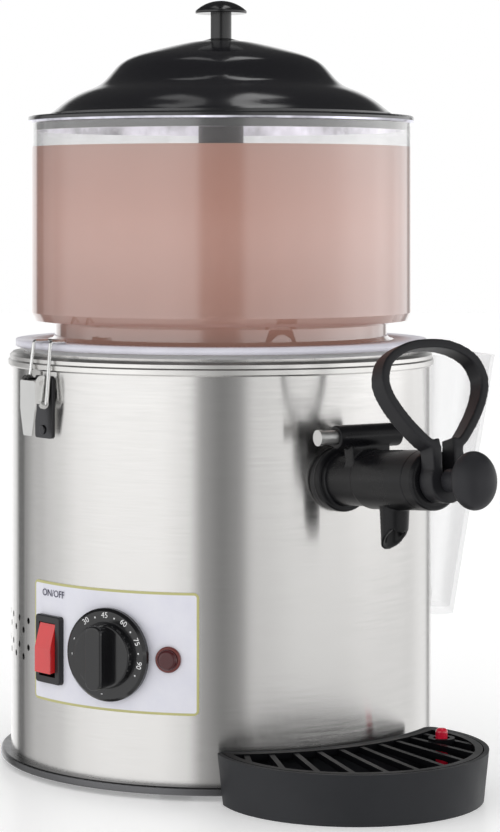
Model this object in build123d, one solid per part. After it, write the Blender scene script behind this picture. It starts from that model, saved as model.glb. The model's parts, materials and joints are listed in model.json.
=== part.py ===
from build123d import *
import os
from math import cos, degrees, radians, sin, tan

# Hot chocolate dispenser: a steel water-bath body with a clear bowl clamped on top,
# a stirrer driven from below, a push-back piston tap and a loose drip tray.
# Millimetres, +Z up, origin on the body's axis at floor level, the tap towards -Y.
# Angles round the body are counted from the tap: plus is towards +X.

os.makedirs("parts", exist_ok=True)

# ---- fits ----
fit = 0.1            # radial gap between pieces that are pushed together
run = 0.05           # radial gap of a shaft or pin that turns or slides
clear = 0.4          # gap between pieces that pass each other
past = 1.0           # how far a cut runs past the face that it opens
through = 20.0       # how far a hole's cut reaches on both sides of the shell

# ---- base ----
base_over = 6.0      # how far the base stands out from the shell
foot_h = 3.0
foot_r = 9.0
foot_inset = 24.0    # from the base's edge to a foot's middle
foot_count = 4
base_t = 5.0
base_edge_r = 1.5
base_lip_h = 12.0
base_lip_t = 2.5
foot_screw_r = 2.0
foot_screw_head_r = 3.8
foot_screw_head_h = 1.6
foot_screw_grip = 3.0
base_pan_t = 1.5     # thickness of the base between its feet
base_pan_gap = 4.0   # from a foot's edge in to the thin part

# ---- body shell and its rolled top ring ----
body_r = 130.0
shell_t = 1.2
ring_z = 242.5       # underside of the ring's bead
ring_bead_h = 4.5
ring_h = 8.2
ring_over = 1.6      # how far the bead stands out from the shell
ring_edge = 0.9      # rounding of the bead
ring_step = 1.6      # slope from the bead to the deck
deck_t = 1.2
deck_gap = 1.5       # between the deck's hole and the pot

# ---- inner pot and water tank ----
pot_t = 1.0
pot_depth = 86.7     # from the deck's top
pot_dish_r = 14.0
pot_flange_w = 22.0
pot_flange_t = 1.2
column_r = 9.0       # the pot's centre tube, which keeps the drink off the shaft
column_t = 1.2
column_below = 7.3   # from the bowl's rim down to the top of the centre tube
sleeve_gap = 4.0     # between the centre tube and the tank's dry sleeve
tank_gap = 10.0      # from the body's outside in to the tank
bath_gap = 20.0      # water between the tank and the pot
bath_depth = 38.0    # from the pot's floor down to the tank's
tank_t = 1.0
tank_rim_gap = 1.8   # between the tank's rim and the shell

# ---- bowl, gasket and lid ----
gasket_h = 2.5
flange_inset = 3.0   # from the body's outside in to the bowl's flange
bowl_flange_t = 4.0
neck_over = 3.0      # how far the bowl's neck stands out from the pot
neck_h = 9.6
bowl_r = 118.0
bowl_t = 2.2
bowl_shoulder_h = 7.0
bowl_h = 136.9
lid_over = 1.5       # how far the lid's rim stands out from the bowl
lid_rim_t = 4.0
lid_skirt_h = 5.0
lid_t = 2.6
lid_h = 51.5         # from the bowl's rim to the crown
knob_stem_r = 6.5
knob_stem_h = 17.0
knob_cap_r = 16.0
knob_cap_h = 8.0
knob_cap_side_h = 1.6    # height of the cap's rim, below its dome
knob_cap_edge_r = 0.6
knob_foot_w = 5.5
knob_foot_h = 1.5
knob_screw_r = 2.0
knob_screw_head_r = 4.0
knob_screw_head_h = 2.4
knob_screw_grip = 12.0

# ---- stirrer and its drive ----
shaft_r = 5.0
shaft_drive_h = 5.0  # how far the shaft stands out of the centre tube
shaft_in_gearbox = 16.0
shaft_flat = 1.2     # depth of the flat that drives the stirrer
bush_h = 12.0
stirrer_r = 14.0
stirrer_wall_t = 2.6
stirrer_lift = 5.0   # above the pot's floor
stirrer_cap_h = 8.0
stirrer_cap_edge_r = 1.5
paddle_w = 19.0
paddle_t = 3.0
paddle_below = 5.0   # from the centre tube's top down to the paddles' tops
paddle_lift = 7.0    # above the bowl's shoulder
paddle_in_r = 31.0   # middle of the inner paddle
paddle_out_r = 48.0  # middle of the outer paddle
arm_h = 8.0
blade_h = 22.0
wiper_gap = 11.0     # between the wipers and the pot's wall
blade_t = 3.0
wiper_w = 10.0
wiper_h = 70.0
stirrer_turn = 148.5 # where the paddles stand at rest, from the tap

gearbox_w = 62.0
gearbox_d = 78.0
gearbox_h = 26.0
gearbox_round = 6.0
gearbox_shift = 18.0 # the shaft leaves the gearbox off its middle
motor_r = 26.0
motor_h = 46.0
motor_shift = 28.8   # the motor stands off the shaft's axis
motor_edge = 3.0
motor_vent_w = 3.0
motor_vent_l = 12.0
motor_vent_h = 7.0
motor_vent_count = 6
motor_vent_ring_r = 15.6
bracket_t = 2.0
bracket_w = 84.0
bracket_l = 150.0
bracket_corner_r = 8.0
post_r = 5.0
post_h = 14.0
post_reach_x = 32.0
post_reach_y = 64.0
bracket_screw_r = 2.0
bracket_screw_head_r = 3.8
bracket_screw_head_h = 2.4
bracket_screw_grip = 9.8

# ---- water heating ----
heater_ring_r = 82.0
heater_tube_r = 4.0
heater_lift = 16.0   # above the tank's floor
heater_leg_angle = 9.0
heater_leg_drop = 12.0
heater_nut_r = 9.0
heater_nut_h = 5.0
probe_angle = 40.0
probe_r = 2.0
probe_h = 50.0       # above the tank's floor
probe_body_r = 6.0
probe_body_h = 14.0
cutout_r = 9.0
cutout_h = 9.0
cutout_tab_l = 21.6
cutout_tab_w = 5.0
cutout_tab_t = 2.0
cutout_angle = 140.0
cutout_ring_r = 62.0

# ---- water funnel with its pipe into the tank ----
funnel_angle = 73.0
funnel_w = 56.0
funnel_d = 42.0
funnel_foot_w = 30.0
funnel_foot_d = 19.0
funnel_below = 3.7   # from the ring's top down to the funnel's rim
funnel_foot_drop = 14.0  # from the pipe down to the funnel's foot
funnel_wall = 2.2
funnel_round = 8.0
funnel_round_limit = 0.45    # the most of the funnel's depth that a corner takes
pipe_drop = 28.0     # from the tank's floor down to the pipe
pipe_r = 8.0
pipe_wall = 1.5
pipe_inset = 9.0     # between the rising pipe and the tank's wall
pipe_bend_r = 16.0
grommet_r = 12.0
grommet_t = 3.0
grommet_lip = 2.5

# ---- tap ----
tap_lift = 18.0      # from the pot's floor up to the tap
tap_tilt = 4.5
spigot_r = 12.0
spigot_t = 1.5
spigot_reach = 34.0
spigot_root = 8.0    # how far the spigot starts inside the pot's wall
tap_gasket_r = 18.0
tap_gasket_t = 2.0
tap_flange_r = 18.8
tap_flange_t = 6.0
tap_flange_edge_r = 1.5
tap_neck_r = 15.2
tap_neck_len = 36.0
tap_barrel_r = 16.8
tap_barrel_edge_r = 1.2
tap_len = 97.0
tap_bore_r = 11.8
tap_stop_t = 2.0
tap_cap_len = 10.0
tap_cap_spigot = 4.0
tap_cap_wall = 3.0
tap_cap_round = 3.0
nozzle_at = 57.0
nozzle_r = 9.2
nozzle_tip_r = 7.4
nozzle_bore_r = 5.2
nozzle_drop = 36.0   # from the tap's height down to the nozzle's tip
nozzle_cut = 48.0    # slope of the slanted tip
boss_at = 31.0
boss_up = 25.0
boss_r = 6.7
boss_w = 43.0
boss_web_w = 26.0
boss_web_t = 9.0
lug_t = 6.0
lug_r = 5.2
lug_root = 6.0       # length of the lug's arm past its eye and into the shell's curve
lock_pin_r = 4.0
lock_pin_out = 12.0
lock_pin_head_r = 4.6
lock_pin_head_t = 2.5
lock_pin_in = 2.0
lock_pin_edge = 0.6

# ---- tap piston, spring, knob and handle ----
piston_len = 23.0
piston_at = 44.0
rod_r = 3.5
oring_r = 1.3
oring_inset = 3.0
rod_in_knob = 18.4
spring_wire_r = 0.7
spring_r = 7.5
spring_turns = 6
tap_spring_room_r = 9.2
tap_knob_len = 23.0
tap_knob_w = 26.0
tap_knob_h = 32.0
tap_knob_neck_r = 6.5
tap_knob_neck_len = 10.0
fork_t = 12.0
fork_r = 12.5
fork_gap = 0.5
fork_toe_r = 1.5     # round edge that the handle rocks on
fork_toe_w = 10.0
fork_block_w = 21.0
fork_slot_w = 8.3
loop_up = 17.0       # height above the tap's axis where the loop starts to lean back
loop_lean = 12.0
loop_h = 61.0
loop_w = 70.0
loop_band = 4.6
loop_widest = 33.5
loop_floor = 7.0
loop_floor_w = 20.0
loop_flank_w = 25.2      # a point on the loop's flank, from its middle and its foot
loop_flank_h = 13.0
loop_flank_in_w = 23.1   # the same on the inside
loop_flank_in_h = 21.3
loop_brow = 0.72     # where the flank turns over to the top
fork_slot_above = 3.0  # how far the slot opens into the loop

# ---- control panel ----
panel_angle = -63.25
panel_w = 119.1      # round the shell
panel_h = 70.5
panel_z = 83.25
panel_t = 0.6
panel_round = 3.0
vent_r = 1.9
vent_pitch = 16.0
vent_step = 7.9      # round the shell, from one column of vents to the next
vent_stagger = 6.4
vent_columns = 12
vent_rows = 2
vent_gap = 10.2      # from the panel's edge to the first column
vent_drop = 7.3      # from the panel's middle down to the lower row

switch_along = -41.8 # round the shell from the panel's middle
switch_drop = 4.25   # below the panel's middle
switch_w = 23.5
switch_h = 40.0
switch_flange_t = 3.0
switch_corner_r = 2.0
switch_edge_r = 1.0
switch_root = 4.0    # how far the frame's back lies inside the shell's outside
switch_back_t = 3.0
switch_body_w = 20.0
switch_body_h = 35.5
switch_body_d = 24.0
rocker_w = 15.0
rocker_h = 29.0
rocker_rise = 3.5    # how far the rocker's ridge stands out of the frame
rocker_peak = 8.0    # slope of each half of the rocker
rocker_sink = 5.5    # from the frame's face down to the rocker's hinge
rocker_waist = 1.5
rocker_keel = 4.95
rocker_foot = 0.8    # how much of the key's half height its back keeps
rocker_end_room = 1.0
rocker_pin_r = 1.5
rocker_pin_in = 1.2

dial_along = 5.1     # round the shell from the panel's middle
dial_drop = 2.25
dial_r = 27.0
dial_t = 4.0
dial_lift = 1.2      # gap behind the dial
dial_cup_r = 20.0
dial_cup_h = 9.0
dial_cup_taper = 1.5
dial_edge = 1.6
dial_cup_edge_r = 1.2
dial_grip_w = 11.0
dial_grip_h = 9.0
dial_grip_len = 37.0
dial_grip_corner_r = 4.9
dial_grip_edge_r = 1.5
dial_grip_inset = 0.5
stem_r = 3.0
stem_out = 14.0
stem_flat_from = 4.2 # where the stem's flat starts, from the panel
stem_flat = 1.35     # depth of the flat
stem_flat_room = 2.0
stem_in = 12.0
stat_w = 34.0
stat_h = 34.0
stat_d = 28.0
stat_gap = 4.0       # between the thermostat and the shell
stat_corner_r = 3.0
stat_neck_r = 5.0
bulb_r = 3.0
bulb_len = 30.0
bulb_lift = 14.0     # above the tank's floor
bulb_end_r = 1.8

lamp_along = 41.8    # round the shell from the panel's middle
lamp_drop = 3.25
lamp_r = 7.5
lamp_lens_r = 5.9
lamp_flange_t = 2.2
lamp_edge_r = 0.8
lamp_seat_t = 1.0
lamp_lens_edge_r = 2.0
lamp_lens_tail = 6.0
lamp_back_t = 3.0
lamp_body_r = 5.0
lamp_body_d = 22.0
lamp_dome_h = 2.6
lamp_socket_wall = 1.0

# ---- rear ----
gland_z = 40.0
gland_angle = 180.0
gland_r = 10.0
gland_out = 16.0
gland_collar_t = 5.0
gland_nose_step = 1.0
gland_nose_taper = 2.5
gland_thread_r = 8.0
gland_thread_len = 12.0
gland_bore_r = 4.0
gland_nut_t = 5.0
gland_nut_r = 11.5
gland_nut_gap = 1.0
terminal_w = 42.0
terminal_d = 18.0
terminal_h = 16.0
terminal_angle = 150.0
terminal_inset = 30.0  # from the body's outside in to the strip's middle
terminal_ways = 4
terminal_hole_r = 2.2
terminal_hole_side = 4.0
terminal_floor = 4.0

# ---- latches ----
latch_angles = {"left": -85.0, "right": 106.0}
latch_out = 7.0      # from the shell out to the lever's hinge
latch_below = 6.5    # from the ring down to the lever's hinge
latch_drop = 12.0    # from the lever's hinge down to the bail's hinge
latch_inset = 1.5    # how far the bail's hinge lies inside the lever's
latch_plate_w = 18.0
latch_plate_t = 1.2
latch_plate_low = 33.0   # from the hinge down to the plate's foot
latch_plate_high = 4.0   # from the hinge up to the plate's top
latch_plate_corner_r = 2.0
latch_ear_gap = 9.0
latch_ear_t = 1.2
latch_ear_r = 2.8
latch_ear_root = 0.5     # how far out of the shell the ears start
latch_pin_r = 1.5
latch_pin_over = 0.6 # how much longer the pin is than the lever is wide
lever_w = 16.0
lever_tip_w = 9.0
lever_t = 1.2
lever_len = 31.0
lever_rise = 1.5     # how far the lever's face reaches above its hinge
lever_depth = 5.0    # from the hinge out to the lever's face
lever_eye_r = 4.6
lever_bail_eye_r = 3.2
lever_corner_r = 1.2
bail_wire_r = 1.2
bail_w = 21.0        # between the middles of the bail's two legs, at the lever
bail_bar_w = 18.0    # the same at the top
bail_reach = 6.0     # from the flange's edge in to the crossbar
bail_bend_r = 1.5
bail_lean = 4.0      # how far the legs lean in on their way up
bail_end_gap = 0.2
latch_rivet_r = 1.6
latch_rivet_head_r = 2.8
latch_rivet_head_t = 1.0
latch_rivet_edge_r = 0.5
latch_rivet_tail_t = 0.8
latch_rivet_tail_gap = 0.2
latch_rivet_low = 28.0   # from the hinge down to the lower rivet
latch_rivet_high = 10.0  # from the hinge down to the upper rivet

# ---- drip tray ----
tray_out = 7.0       # from the base's edge out to the middle of the tray's round front
tray_r = 79.5
tray_draft = 3.0     # how much smaller the tray is at its foot
tray_h = 29.0
tray_gap = 1.0       # between the tray and the base
tray_wall = 3.0
tray_ledge = 0.8     # how far the grid's ledge cuts into the wall
tray_floor_t = 3.0
tray_corner_r = 5.0
grid_t = 4.0
grid_rim = 4.5
grid_play = 0.6
slat_t = 3.2
slat_below = 0.6     # how far the slats lie under the rim's top
slat_count = 12
slat_first = -27.2   # direction of the first slat
slat_turn = 3.9      # degrees from one slat to the next
slat_pivot_back = 58.0   # the point that the slats fan out from, behind the body's axis
slat_pivot_side = 34.0
float_ahead = 9.0    # from the tray's middle
float_inset = 21.5   # from the tray's edge
float_ring_r = 7.8
float_ring_over = 0.8
float_hole_r = 5.0
float_r = 3.6
float_top_r = 2.5
float_rise = 6.5
float_foot_r = 6.5
float_foot_h = 6.0
float_foot_gap = 1.0 # above the tray's floor

# ---- places worked out from the sizes above ----
base_z = foot_h + base_t
base_r = body_r + base_over
foot_circle_r = base_r - foot_inset
shell_in_r = body_r - shell_t
tank_r = body_r - tank_gap
tank_rim_r = shell_in_r - tank_rim_gap
pot_r = tank_r - bath_gap
deck_inner_r = pot_r + deck_gap
pot_flange_r = pot_r + pot_flange_w
bowl_neck_r = pot_r + neck_over
bowl_flange_r = body_r - flange_inset
lid_rim_r = bowl_r + lid_over
lid_skirt_r = bowl_r - bowl_t - clear
ring_top_z = ring_z + ring_h
deck_z = ring_top_z - deck_t
pot_rim_z = ring_top_z + pot_flange_t
gasket_top_z = pot_rim_z + gasket_h
flange_top_z = gasket_top_z + bowl_flange_t
bowl_shoulder_z = flange_top_z + neck_h
bowl_top_z = gasket_top_z + bowl_h
lid_z = bowl_top_z + clear
crown_z = bowl_top_z + lid_h
pot_floor_z = ring_top_z - pot_depth
tank_floor_z = pot_floor_z - bath_depth
column_top_z = bowl_top_z - column_below
bracket_z = tank_floor_z - post_h
shaft_top_z = column_top_z + shaft_drive_h
flat_z = column_top_z + shaft_flat
stirrer_foot_z = pot_floor_z + pot_t + stirrer_lift
paddle_top_z = column_top_z - paddle_below
paddle_foot_z = bowl_shoulder_z + bowl_shoulder_h + paddle_lift
blade_r = pot_r - pot_t - wiper_gap
wiper_top_z = stirrer_foot_z + wiper_h
heater_z = tank_floor_z + heater_lift
probe_ring_r = (pot_r + tank_r) / 2
probe_top_z = tank_floor_z + probe_h
pipe_z = tank_floor_z - pipe_drop
pipe_rise_r = tank_r - tank_t - pipe_r - pipe_inset
funnel_top_z = ring_top_z - funnel_below
funnel_foot_z = pipe_z - funnel_foot_drop
tap_z = pot_floor_z + tap_lift
nozzle_tip_z = tap_z - nozzle_drop
oring_seat_r = tap_bore_r - run - oring_r
fork_at = tap_len + fork_gap
tap_knob_at = fork_at + fork_t + fork_gap
panel_r = body_r + panel_t
panel_half = degrees(panel_w / 2 / body_r)
switch_angle = panel_angle + degrees(switch_along / body_r)
switch_z = panel_z - switch_drop
rocker_axis_r = panel_r + switch_flange_t - rocker_sink
dial_angle = panel_angle + degrees(dial_along / body_r)
dial_z = panel_z - dial_drop
lamp_angle = panel_angle + degrees(lamp_along / body_r)
lamp_z = panel_z - lamp_drop
vent_z = panel_z - vent_drop
bulb_z = tank_floor_z + bulb_lift
terminal_ring_r = body_r - terminal_inset
latch_pivot_r = body_r + latch_out
latch_pivot_z = ring_z - latch_below
bail_reach_r = bowl_flange_r - bail_reach
tray_at = base_r + tray_out
tray_foot_r = tray_r - tray_draft
tray_back_r = base_r + tray_gap
grid_low_z = tray_h - grid_t
float_spot = (tray_r - float_inset, -tray_at - float_ahead)
float_foot_z = tray_floor_t + float_foot_gap


def polar(r, angle, z=0.0):
    """A point round the body's axis."""
    a = radians(angle)
    return Vector(r * sin(a), -r * cos(a), z)


def outward(angle, z=0.0, r=0.0):
    """A plane whose normal points away from the axis, with its Y up."""
    a = radians(angle)
    return Plane(origin=polar(r, angle, z), x_dir=(cos(a), sin(a), 0), z_dir=(sin(a), -cos(a), 0))


def disc(r, z0, z1, at=(0, 0)):
    """A cylinder on the Z direction from z0 to z1."""
    return Pos(at[0], at[1], z0) * Cylinder(r, z1 - z0, align=(Align.CENTER, Align.CENTER, Align.MIN))


def tube(r, wall, z0, z1):
    """A tube on the Z direction, given by its outside radius and wall."""
    return disc(r, z0, z1) - disc(r - wall, z0 - past, z1 + past)


def block(w, h, d, z0=0.0, x=0.0, y=0.0):
    """A box centred in X and Y that starts at z0."""
    return Pos(x, y, z0) * Box(w, h, d, align=(Align.CENTER, Align.CENTER, Align.MIN))


def spun(*points):
    """A ring turned round Z from a closed profile of (r, z) points."""
    profile = make_face(Polyline(*[(r, 0, z) for r, z in points], close=True))
    return revolve(profile, Axis.Z)


def place(plane, shape):
    """Carry a shape from its own frame to a plane."""
    return plane.location * shape


def spread(middle, along):
    """The angle of a point that lies along the shell from a middle angle."""
    return middle + degrees(along / body_r)


def through_shell(plane, r):
    """A round cut through the shell, along a plane's normal."""
    return place(plane, disc(r, body_r - through, body_r + through))


tap = Plane(
    origin=(0, -body_r, tap_z),
    x_dir=(1, 0, 0),
    z_dir=(0, -cos(radians(tap_tilt)), sin(radians(tap_tilt))),
)


# ---- base ----

def foot_places():
    step = 360 / foot_count
    return [polar(foot_circle_r, step * (n + 0.5)) for n in range(foot_count)]


def base_plate():
    plate = disc(base_r, foot_h, base_z)
    plate = fillet(plate.edges().filter_by(GeomType.CIRCLE), base_edge_r)
    plate += tube(shell_in_r - fit, base_lip_t, base_z - past, base_z + base_lip_h)
    plate -= disc(foot_circle_r - foot_r - base_pan_gap, foot_h - past, base_z - base_pan_t)
    for p in foot_places():
        plate -= disc(foot_screw_r, foot_h - past, foot_h + foot_screw_grip, (p.X, p.Y))
    return plate


def feet():
    pads = []
    for p in foot_places():
        pad = disc(foot_r, 0, foot_h, (p.X, p.Y))
        pad -= disc(foot_screw_r + fit, -past, foot_h + past, (p.X, p.Y))
        pad -= disc(foot_screw_head_r + fit, -past, foot_screw_head_h + fit, (p.X, p.Y))
        pads.append(pad)
    return Compound(pads)


def foot_screws():
    screws = []
    for p in foot_places():
        head = disc(foot_screw_head_r, fit, foot_screw_head_h + fit, (p.X, p.Y))
        screws.append(head + disc(foot_screw_r, fit, foot_h + foot_screw_grip, (p.X, p.Y)))
    return Compound(screws)


# ---- body ----

def panel_cutters(grow):
    """The three holes for the switch, the dial's stem and the lamp."""
    window = block(switch_body_w + 2 * grow, switch_body_h + 2 * grow, 2 * through, z0=body_r - through)
    slot = place(outward(switch_angle, switch_z), window)
    stem = through_shell(outward(dial_angle, dial_z), stat_neck_r + grow)
    lamp = through_shell(outward(lamp_angle, lamp_z), lamp_body_r + grow)
    return [slot, stem, lamp]


def vents():
    """Staggered rows of holes that start beside the panel and run round to the back."""
    holes = []
    for column in range(vent_columns):
        angle = spread(panel_angle, -panel_w / 2 - vent_gap - column * vent_step)
        low = vent_z - vent_stagger * (column % 2)
        for row in range(vent_rows):
            holes.append(through_shell(outward(angle, low + row * vent_pitch), vent_r))
    return holes


def latch_rivet_spots():
    """Planes of the two rivets on each latch plate."""
    spots = []
    for angle in latch_angles.values():
        for drop in (latch_rivet_low, latch_rivet_high):
            spots.append(outward(angle, latch_pivot_z - drop))
    return spots


def body_shell():
    shell = tube(body_r, shell_t, base_z, ring_z + ring_bead_h)
    cutters = panel_cutters(fit) + vents()
    cutters.append(place(tap, disc(spigot_r + clear, -through, through)))
    cutters.append(through_shell(outward(funnel_angle, pipe_z), grommet_r - grommet_lip))
    cutters.append(through_shell(outward(gland_angle, gland_z), gland_thread_r + fit))
    cutters += [through_shell(spot, latch_rivet_r + run) for spot in latch_rivet_spots()]
    return shell - cutters


def top_ring():
    skirt_in = body_r + fit
    bead_r = body_r + ring_over
    section = [
        (skirt_in, ring_z),
        (bead_r - ring_edge, ring_z),
        (bead_r, ring_z + ring_edge),
        (bead_r, ring_z + ring_bead_h - ring_edge),
        (bead_r - ring_edge, ring_z + ring_bead_h),
        (bead_r - ring_edge, ring_top_z - ring_step),
        (bead_r - ring_edge - ring_step, ring_top_z),
        (deck_inner_r, ring_top_z),
        (deck_inner_r, deck_z),
        (skirt_in, deck_z),
    ]
    return spun(*section)


# ---- pot and tank ----

def inner_pot():
    inside_r = pot_r - pot_t
    outer = disc(pot_r, pot_floor_z, pot_rim_z)
    outer = fillet(outer.edges().sort_by(Axis.Z)[0], pot_dish_r)
    inner = disc(inside_r, pot_floor_z + pot_t, pot_rim_z + past)
    inner = fillet(inner.edges().sort_by(Axis.Z)[0], pot_dish_r - pot_t)
    pot = outer + disc(pot_flange_r, ring_top_z, pot_rim_z)
    root = pot_r - spigot_root - body_r
    spigot = place(tap, disc(spigot_r, root, spigot_reach))
    pot = pot + spigot - inner
    pot += disc(column_r, pot_floor_z, column_top_z)
    pot -= place(tap, disc(spigot_r - spigot_t, root - spigot_r, spigot_reach + past))
    pot -= disc(column_r - column_t, pot_floor_z - past, column_top_z + past)
    return pot


def tank_floor_holes():
    """Middle and radius of each hole in the tank's floor: the heater's legs, the probe and the pipe."""
    legs = (180 - heater_leg_angle, 180 + heater_leg_angle)
    holes = [(polar(heater_ring_r, angle), heater_tube_r + fit) for angle in legs]
    holes.append((polar(probe_ring_r, probe_angle), probe_r + fit))
    holes.append((polar(pipe_rise_r, funnel_angle), pipe_r - pipe_wall))
    return holes


def water_tank():
    inside = disc(tank_r - tank_t, tank_floor_z + tank_t, deck_z + past)
    tank = disc(tank_r, tank_floor_z, deck_z) - inside
    tank += tube(tank_rim_r, tank_rim_r - tank_r + tank_t, deck_z - tank_t, deck_z)
    # a sleeve in the middle carries the shaft dry through the water
    sleeve_r = column_r + sleeve_gap
    tank += disc(sleeve_r, tank_floor_z, pot_floor_z - clear)
    tank -= disc(sleeve_r - column_t, tank_floor_z - past, pot_floor_z + past)
    tank -= place(tap, disc(spigot_r + fit, pot_r - body_r, 0))
    for middle, r in tank_floor_holes():
        tank -= disc(r, tank_floor_z - past, tank_floor_z + tank_t + past, (middle.X, middle.Y))
    return tank


def heating_element():
    """A tubular heater bent in a ring, with both legs out through the tank's floor."""
    path = CenterArc((0, 0, heater_z), heater_ring_r, 90 + heater_leg_angle, 360 - 2 * heater_leg_angle)
    heater = sweep(Plane(origin=path @ 0, z_dir=path % 0) * Circle(heater_tube_r), path)
    foot = tank_floor_z - heater_leg_drop
    for end in (path @ 0, path @ 1):
        heater += disc(heater_tube_r, foot, heater_z, (end.X, end.Y))
        heater += Pos(end.X, end.Y, heater_z) * Sphere(heater_tube_r)
        heater += disc(heater_nut_r, tank_floor_z - heater_nut_h, tank_floor_z, (end.X, end.Y))
    return heater


def level_probe():
    p = polar(probe_ring_r, probe_angle)
    probe = disc(probe_r, tank_floor_z - probe_body_h, probe_top_z, (p.X, p.Y))
    return probe + disc(probe_body_r, tank_floor_z - probe_body_h, tank_floor_z, (p.X, p.Y))


def safety_cutout():
    p = polar(cutout_ring_r, cutout_angle)
    cutout = disc(cutout_r, tank_floor_z - cutout_h, tank_floor_z, (p.X, p.Y))
    tab = block(cutout_tab_l, cutout_tab_w, cutout_tab_t, z0=tank_floor_z - cutout_tab_t)
    return cutout + Pos(p.X, p.Y, 0) * tab


# ---- bowl and lid ----

def bowl_gasket():
    return tube(pot_flange_r, pot_flange_r - pot_r + pot_t, pot_rim_z, gasket_top_z)


def bowl():
    neck_in = bowl_neck_r - bowl_t
    wide_in = bowl_r - bowl_t
    shoulder_top = bowl_shoulder_z + bowl_shoulder_h
    section = [
        (neck_in, gasket_top_z),
        (bowl_flange_r, gasket_top_z),
        (bowl_flange_r, flange_top_z),
        (bowl_neck_r + bowl_t, flange_top_z),
        (bowl_neck_r, flange_top_z + bowl_t),
        (bowl_neck_r, bowl_shoulder_z),
        (bowl_r - bowl_t, bowl_shoulder_z + bowl_t),
        (bowl_r, shoulder_top),
        (bowl_r, bowl_top_z),
        (wide_in, bowl_top_z),
        (wide_in, shoulder_top + bowl_t),
        (neck_in + bowl_t, bowl_shoulder_z + 2 * bowl_t),
        (neck_in, bowl_shoulder_z + bowl_t),
    ]
    return spun(*section)


def lid_curve(drop, inset):
    """The lid's domed outline as (r, z), lowered by drop and drawn in by inset."""
    rise = crown_z - lid_z
    shape = [(0.885, 0.115), (0.83, 0.215), (0.705, 0.385), (0.635, 0.455), (0.585, 0.56), (0.53, 0.705),
             (0.39, 0.855), (0.2, 0.965)]
    return [Vector(lid_rim_r * r - inset, 0, lid_z + rise * z - drop) for r, z in shape]


def lid_profile(drop, inset, low_z):
    pts = lid_curve(drop, inset)
    crown = Vector(0, 0, crown_z - drop)
    curve = Spline(*pts, crown, tangents=[(-1, 0, 0.6), (-1, 0, 0)])
    foot = Vector(pts[0].X, 0, low_z)
    outline = curve + Line(crown, (0, 0, low_z)) + Line((0, 0, low_z), foot) + Line(foot, pts[0])
    return make_face(outline)


def lid():
    skirt_low = lid_z - lid_skirt_h
    shell = disc(lid_rim_r, lid_z, lid_z + lid_rim_t)
    shell = fillet(shell.edges().filter_by(GeomType.CIRCLE), lid_rim_t * 0.3)
    shell += revolve(lid_profile(0, 0, lid_z), Axis.Z)
    shell += disc(lid_skirt_r, skirt_low, lid_z + past)
    shell -= disc(lid_skirt_r - lid_t, skirt_low - past, lid_z + lid_rim_t - lid_t)
    shell -= revolve(lid_profile(lid_t, lid_t, lid_z - past), Axis.Z)
    shell -= disc(knob_screw_head_r + clear, lid_z, crown_z - lid_t)
    return shell - disc(knob_screw_r + fit, lid_z, crown_z + past)


def lid_knob():
    cap_z = crown_z + knob_stem_h
    stem = disc(knob_stem_r, crown_z, cap_z + past)
    dome_h = knob_cap_h - knob_cap_side_h
    dome_r = (knob_cap_r ** 2 + dome_h ** 2) / (2 * dome_h)
    cap = disc(knob_cap_r, cap_z, cap_z + knob_cap_h)
    cap &= Pos(0, 0, cap_z + knob_cap_h - dome_r) * Sphere(dome_r)
    cap = fillet(cap.edges().filter_by(GeomType.CIRCLE), knob_cap_edge_r)
    foot = spun((knob_stem_r - past, crown_z), (knob_stem_r + knob_foot_w, crown_z),
                (knob_stem_r, crown_z + knob_foot_h), (knob_stem_r - past, crown_z + knob_foot_h))
    return stem + cap + foot - disc(knob_screw_r, crown_z - past, crown_z + knob_screw_grip)


def lid_knob_screw():
    under = crown_z - lid_t
    return disc(knob_screw_head_r, under - knob_screw_head_h, under) + disc(
        knob_screw_r, under - past, crown_z + knob_screw_grip)


# ---- drive ----

def shaft_bush():
    return tube(column_r - column_t, column_r - column_t - shaft_r - run, column_top_z - bush_h, column_top_z)


def drive_shaft():
    shaft = disc(shaft_r, bracket_z - shaft_in_gearbox, shaft_top_z)
    flat = block(4 * shaft_r, 2 * shaft_r, shaft_top_z, z0=flat_z, y=2 * shaft_r - shaft_flat)
    return shaft - flat


def gearbox():
    """The shaft's worm gearbox, hung under the bracket, with a hollow output that drives the shaft."""
    box = block(gearbox_w, gearbox_d, gearbox_h, z0=bracket_z - gearbox_h, y=gearbox_shift)
    box = fillet(box.edges().filter_by(Axis.Z), gearbox_round)
    return box - disc(shaft_r + run, bracket_z - shaft_in_gearbox - clear, bracket_z + past)


def motor():
    top = bracket_z - gearbox_h
    can = disc(motor_r, top - motor_h, top)
    can = chamfer(can.edges().sort_by(Axis.Z)[0], motor_edge)
    slot = block(motor_vent_w, motor_vent_l, motor_vent_h + past, z0=top - motor_h - past, y=motor_vent_ring_r)
    for n in range(motor_vent_count):
        can -= Rot(0, 0, 360 / motor_vent_count * n) * slot
    return Pos(0, motor_shift, 0) * can


def post_spots():
    return [(x, y) for x in (-post_reach_x, post_reach_x) for y in (-post_reach_y, post_reach_y)]


def motor_bracket():
    plate = block(bracket_w, bracket_l, bracket_t, z0=bracket_z)
    plate = fillet(plate.edges().filter_by(Axis.Z), bracket_corner_r)
    for spot in post_spots():
        plate += disc(post_r, bracket_z, tank_floor_z, spot)
        plate -= disc(bracket_screw_r, bracket_z - past, bracket_z + bracket_screw_grip, spot)
    return plate - disc(shaft_r + clear, bracket_z - past, bracket_z + bracket_t + past)


def bracket_screws():
    screws = []
    for spot in post_spots():
        head = disc(bracket_screw_head_r, bracket_z - bracket_screw_head_h, bracket_z, spot)
        screws.append(head + disc(bracket_screw_r, bracket_z - past, bracket_z + bracket_screw_grip, spot))
    return Compound(screws)


def stirrer_vane(reach, thick, high, foot_z):
    """A flat vane from the stirrer's column out to a reach."""
    root = stirrer_r - stirrer_wall_t + past
    return block(reach - root, thick, high, z0=foot_z, x=(reach + root) / 2)


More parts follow.
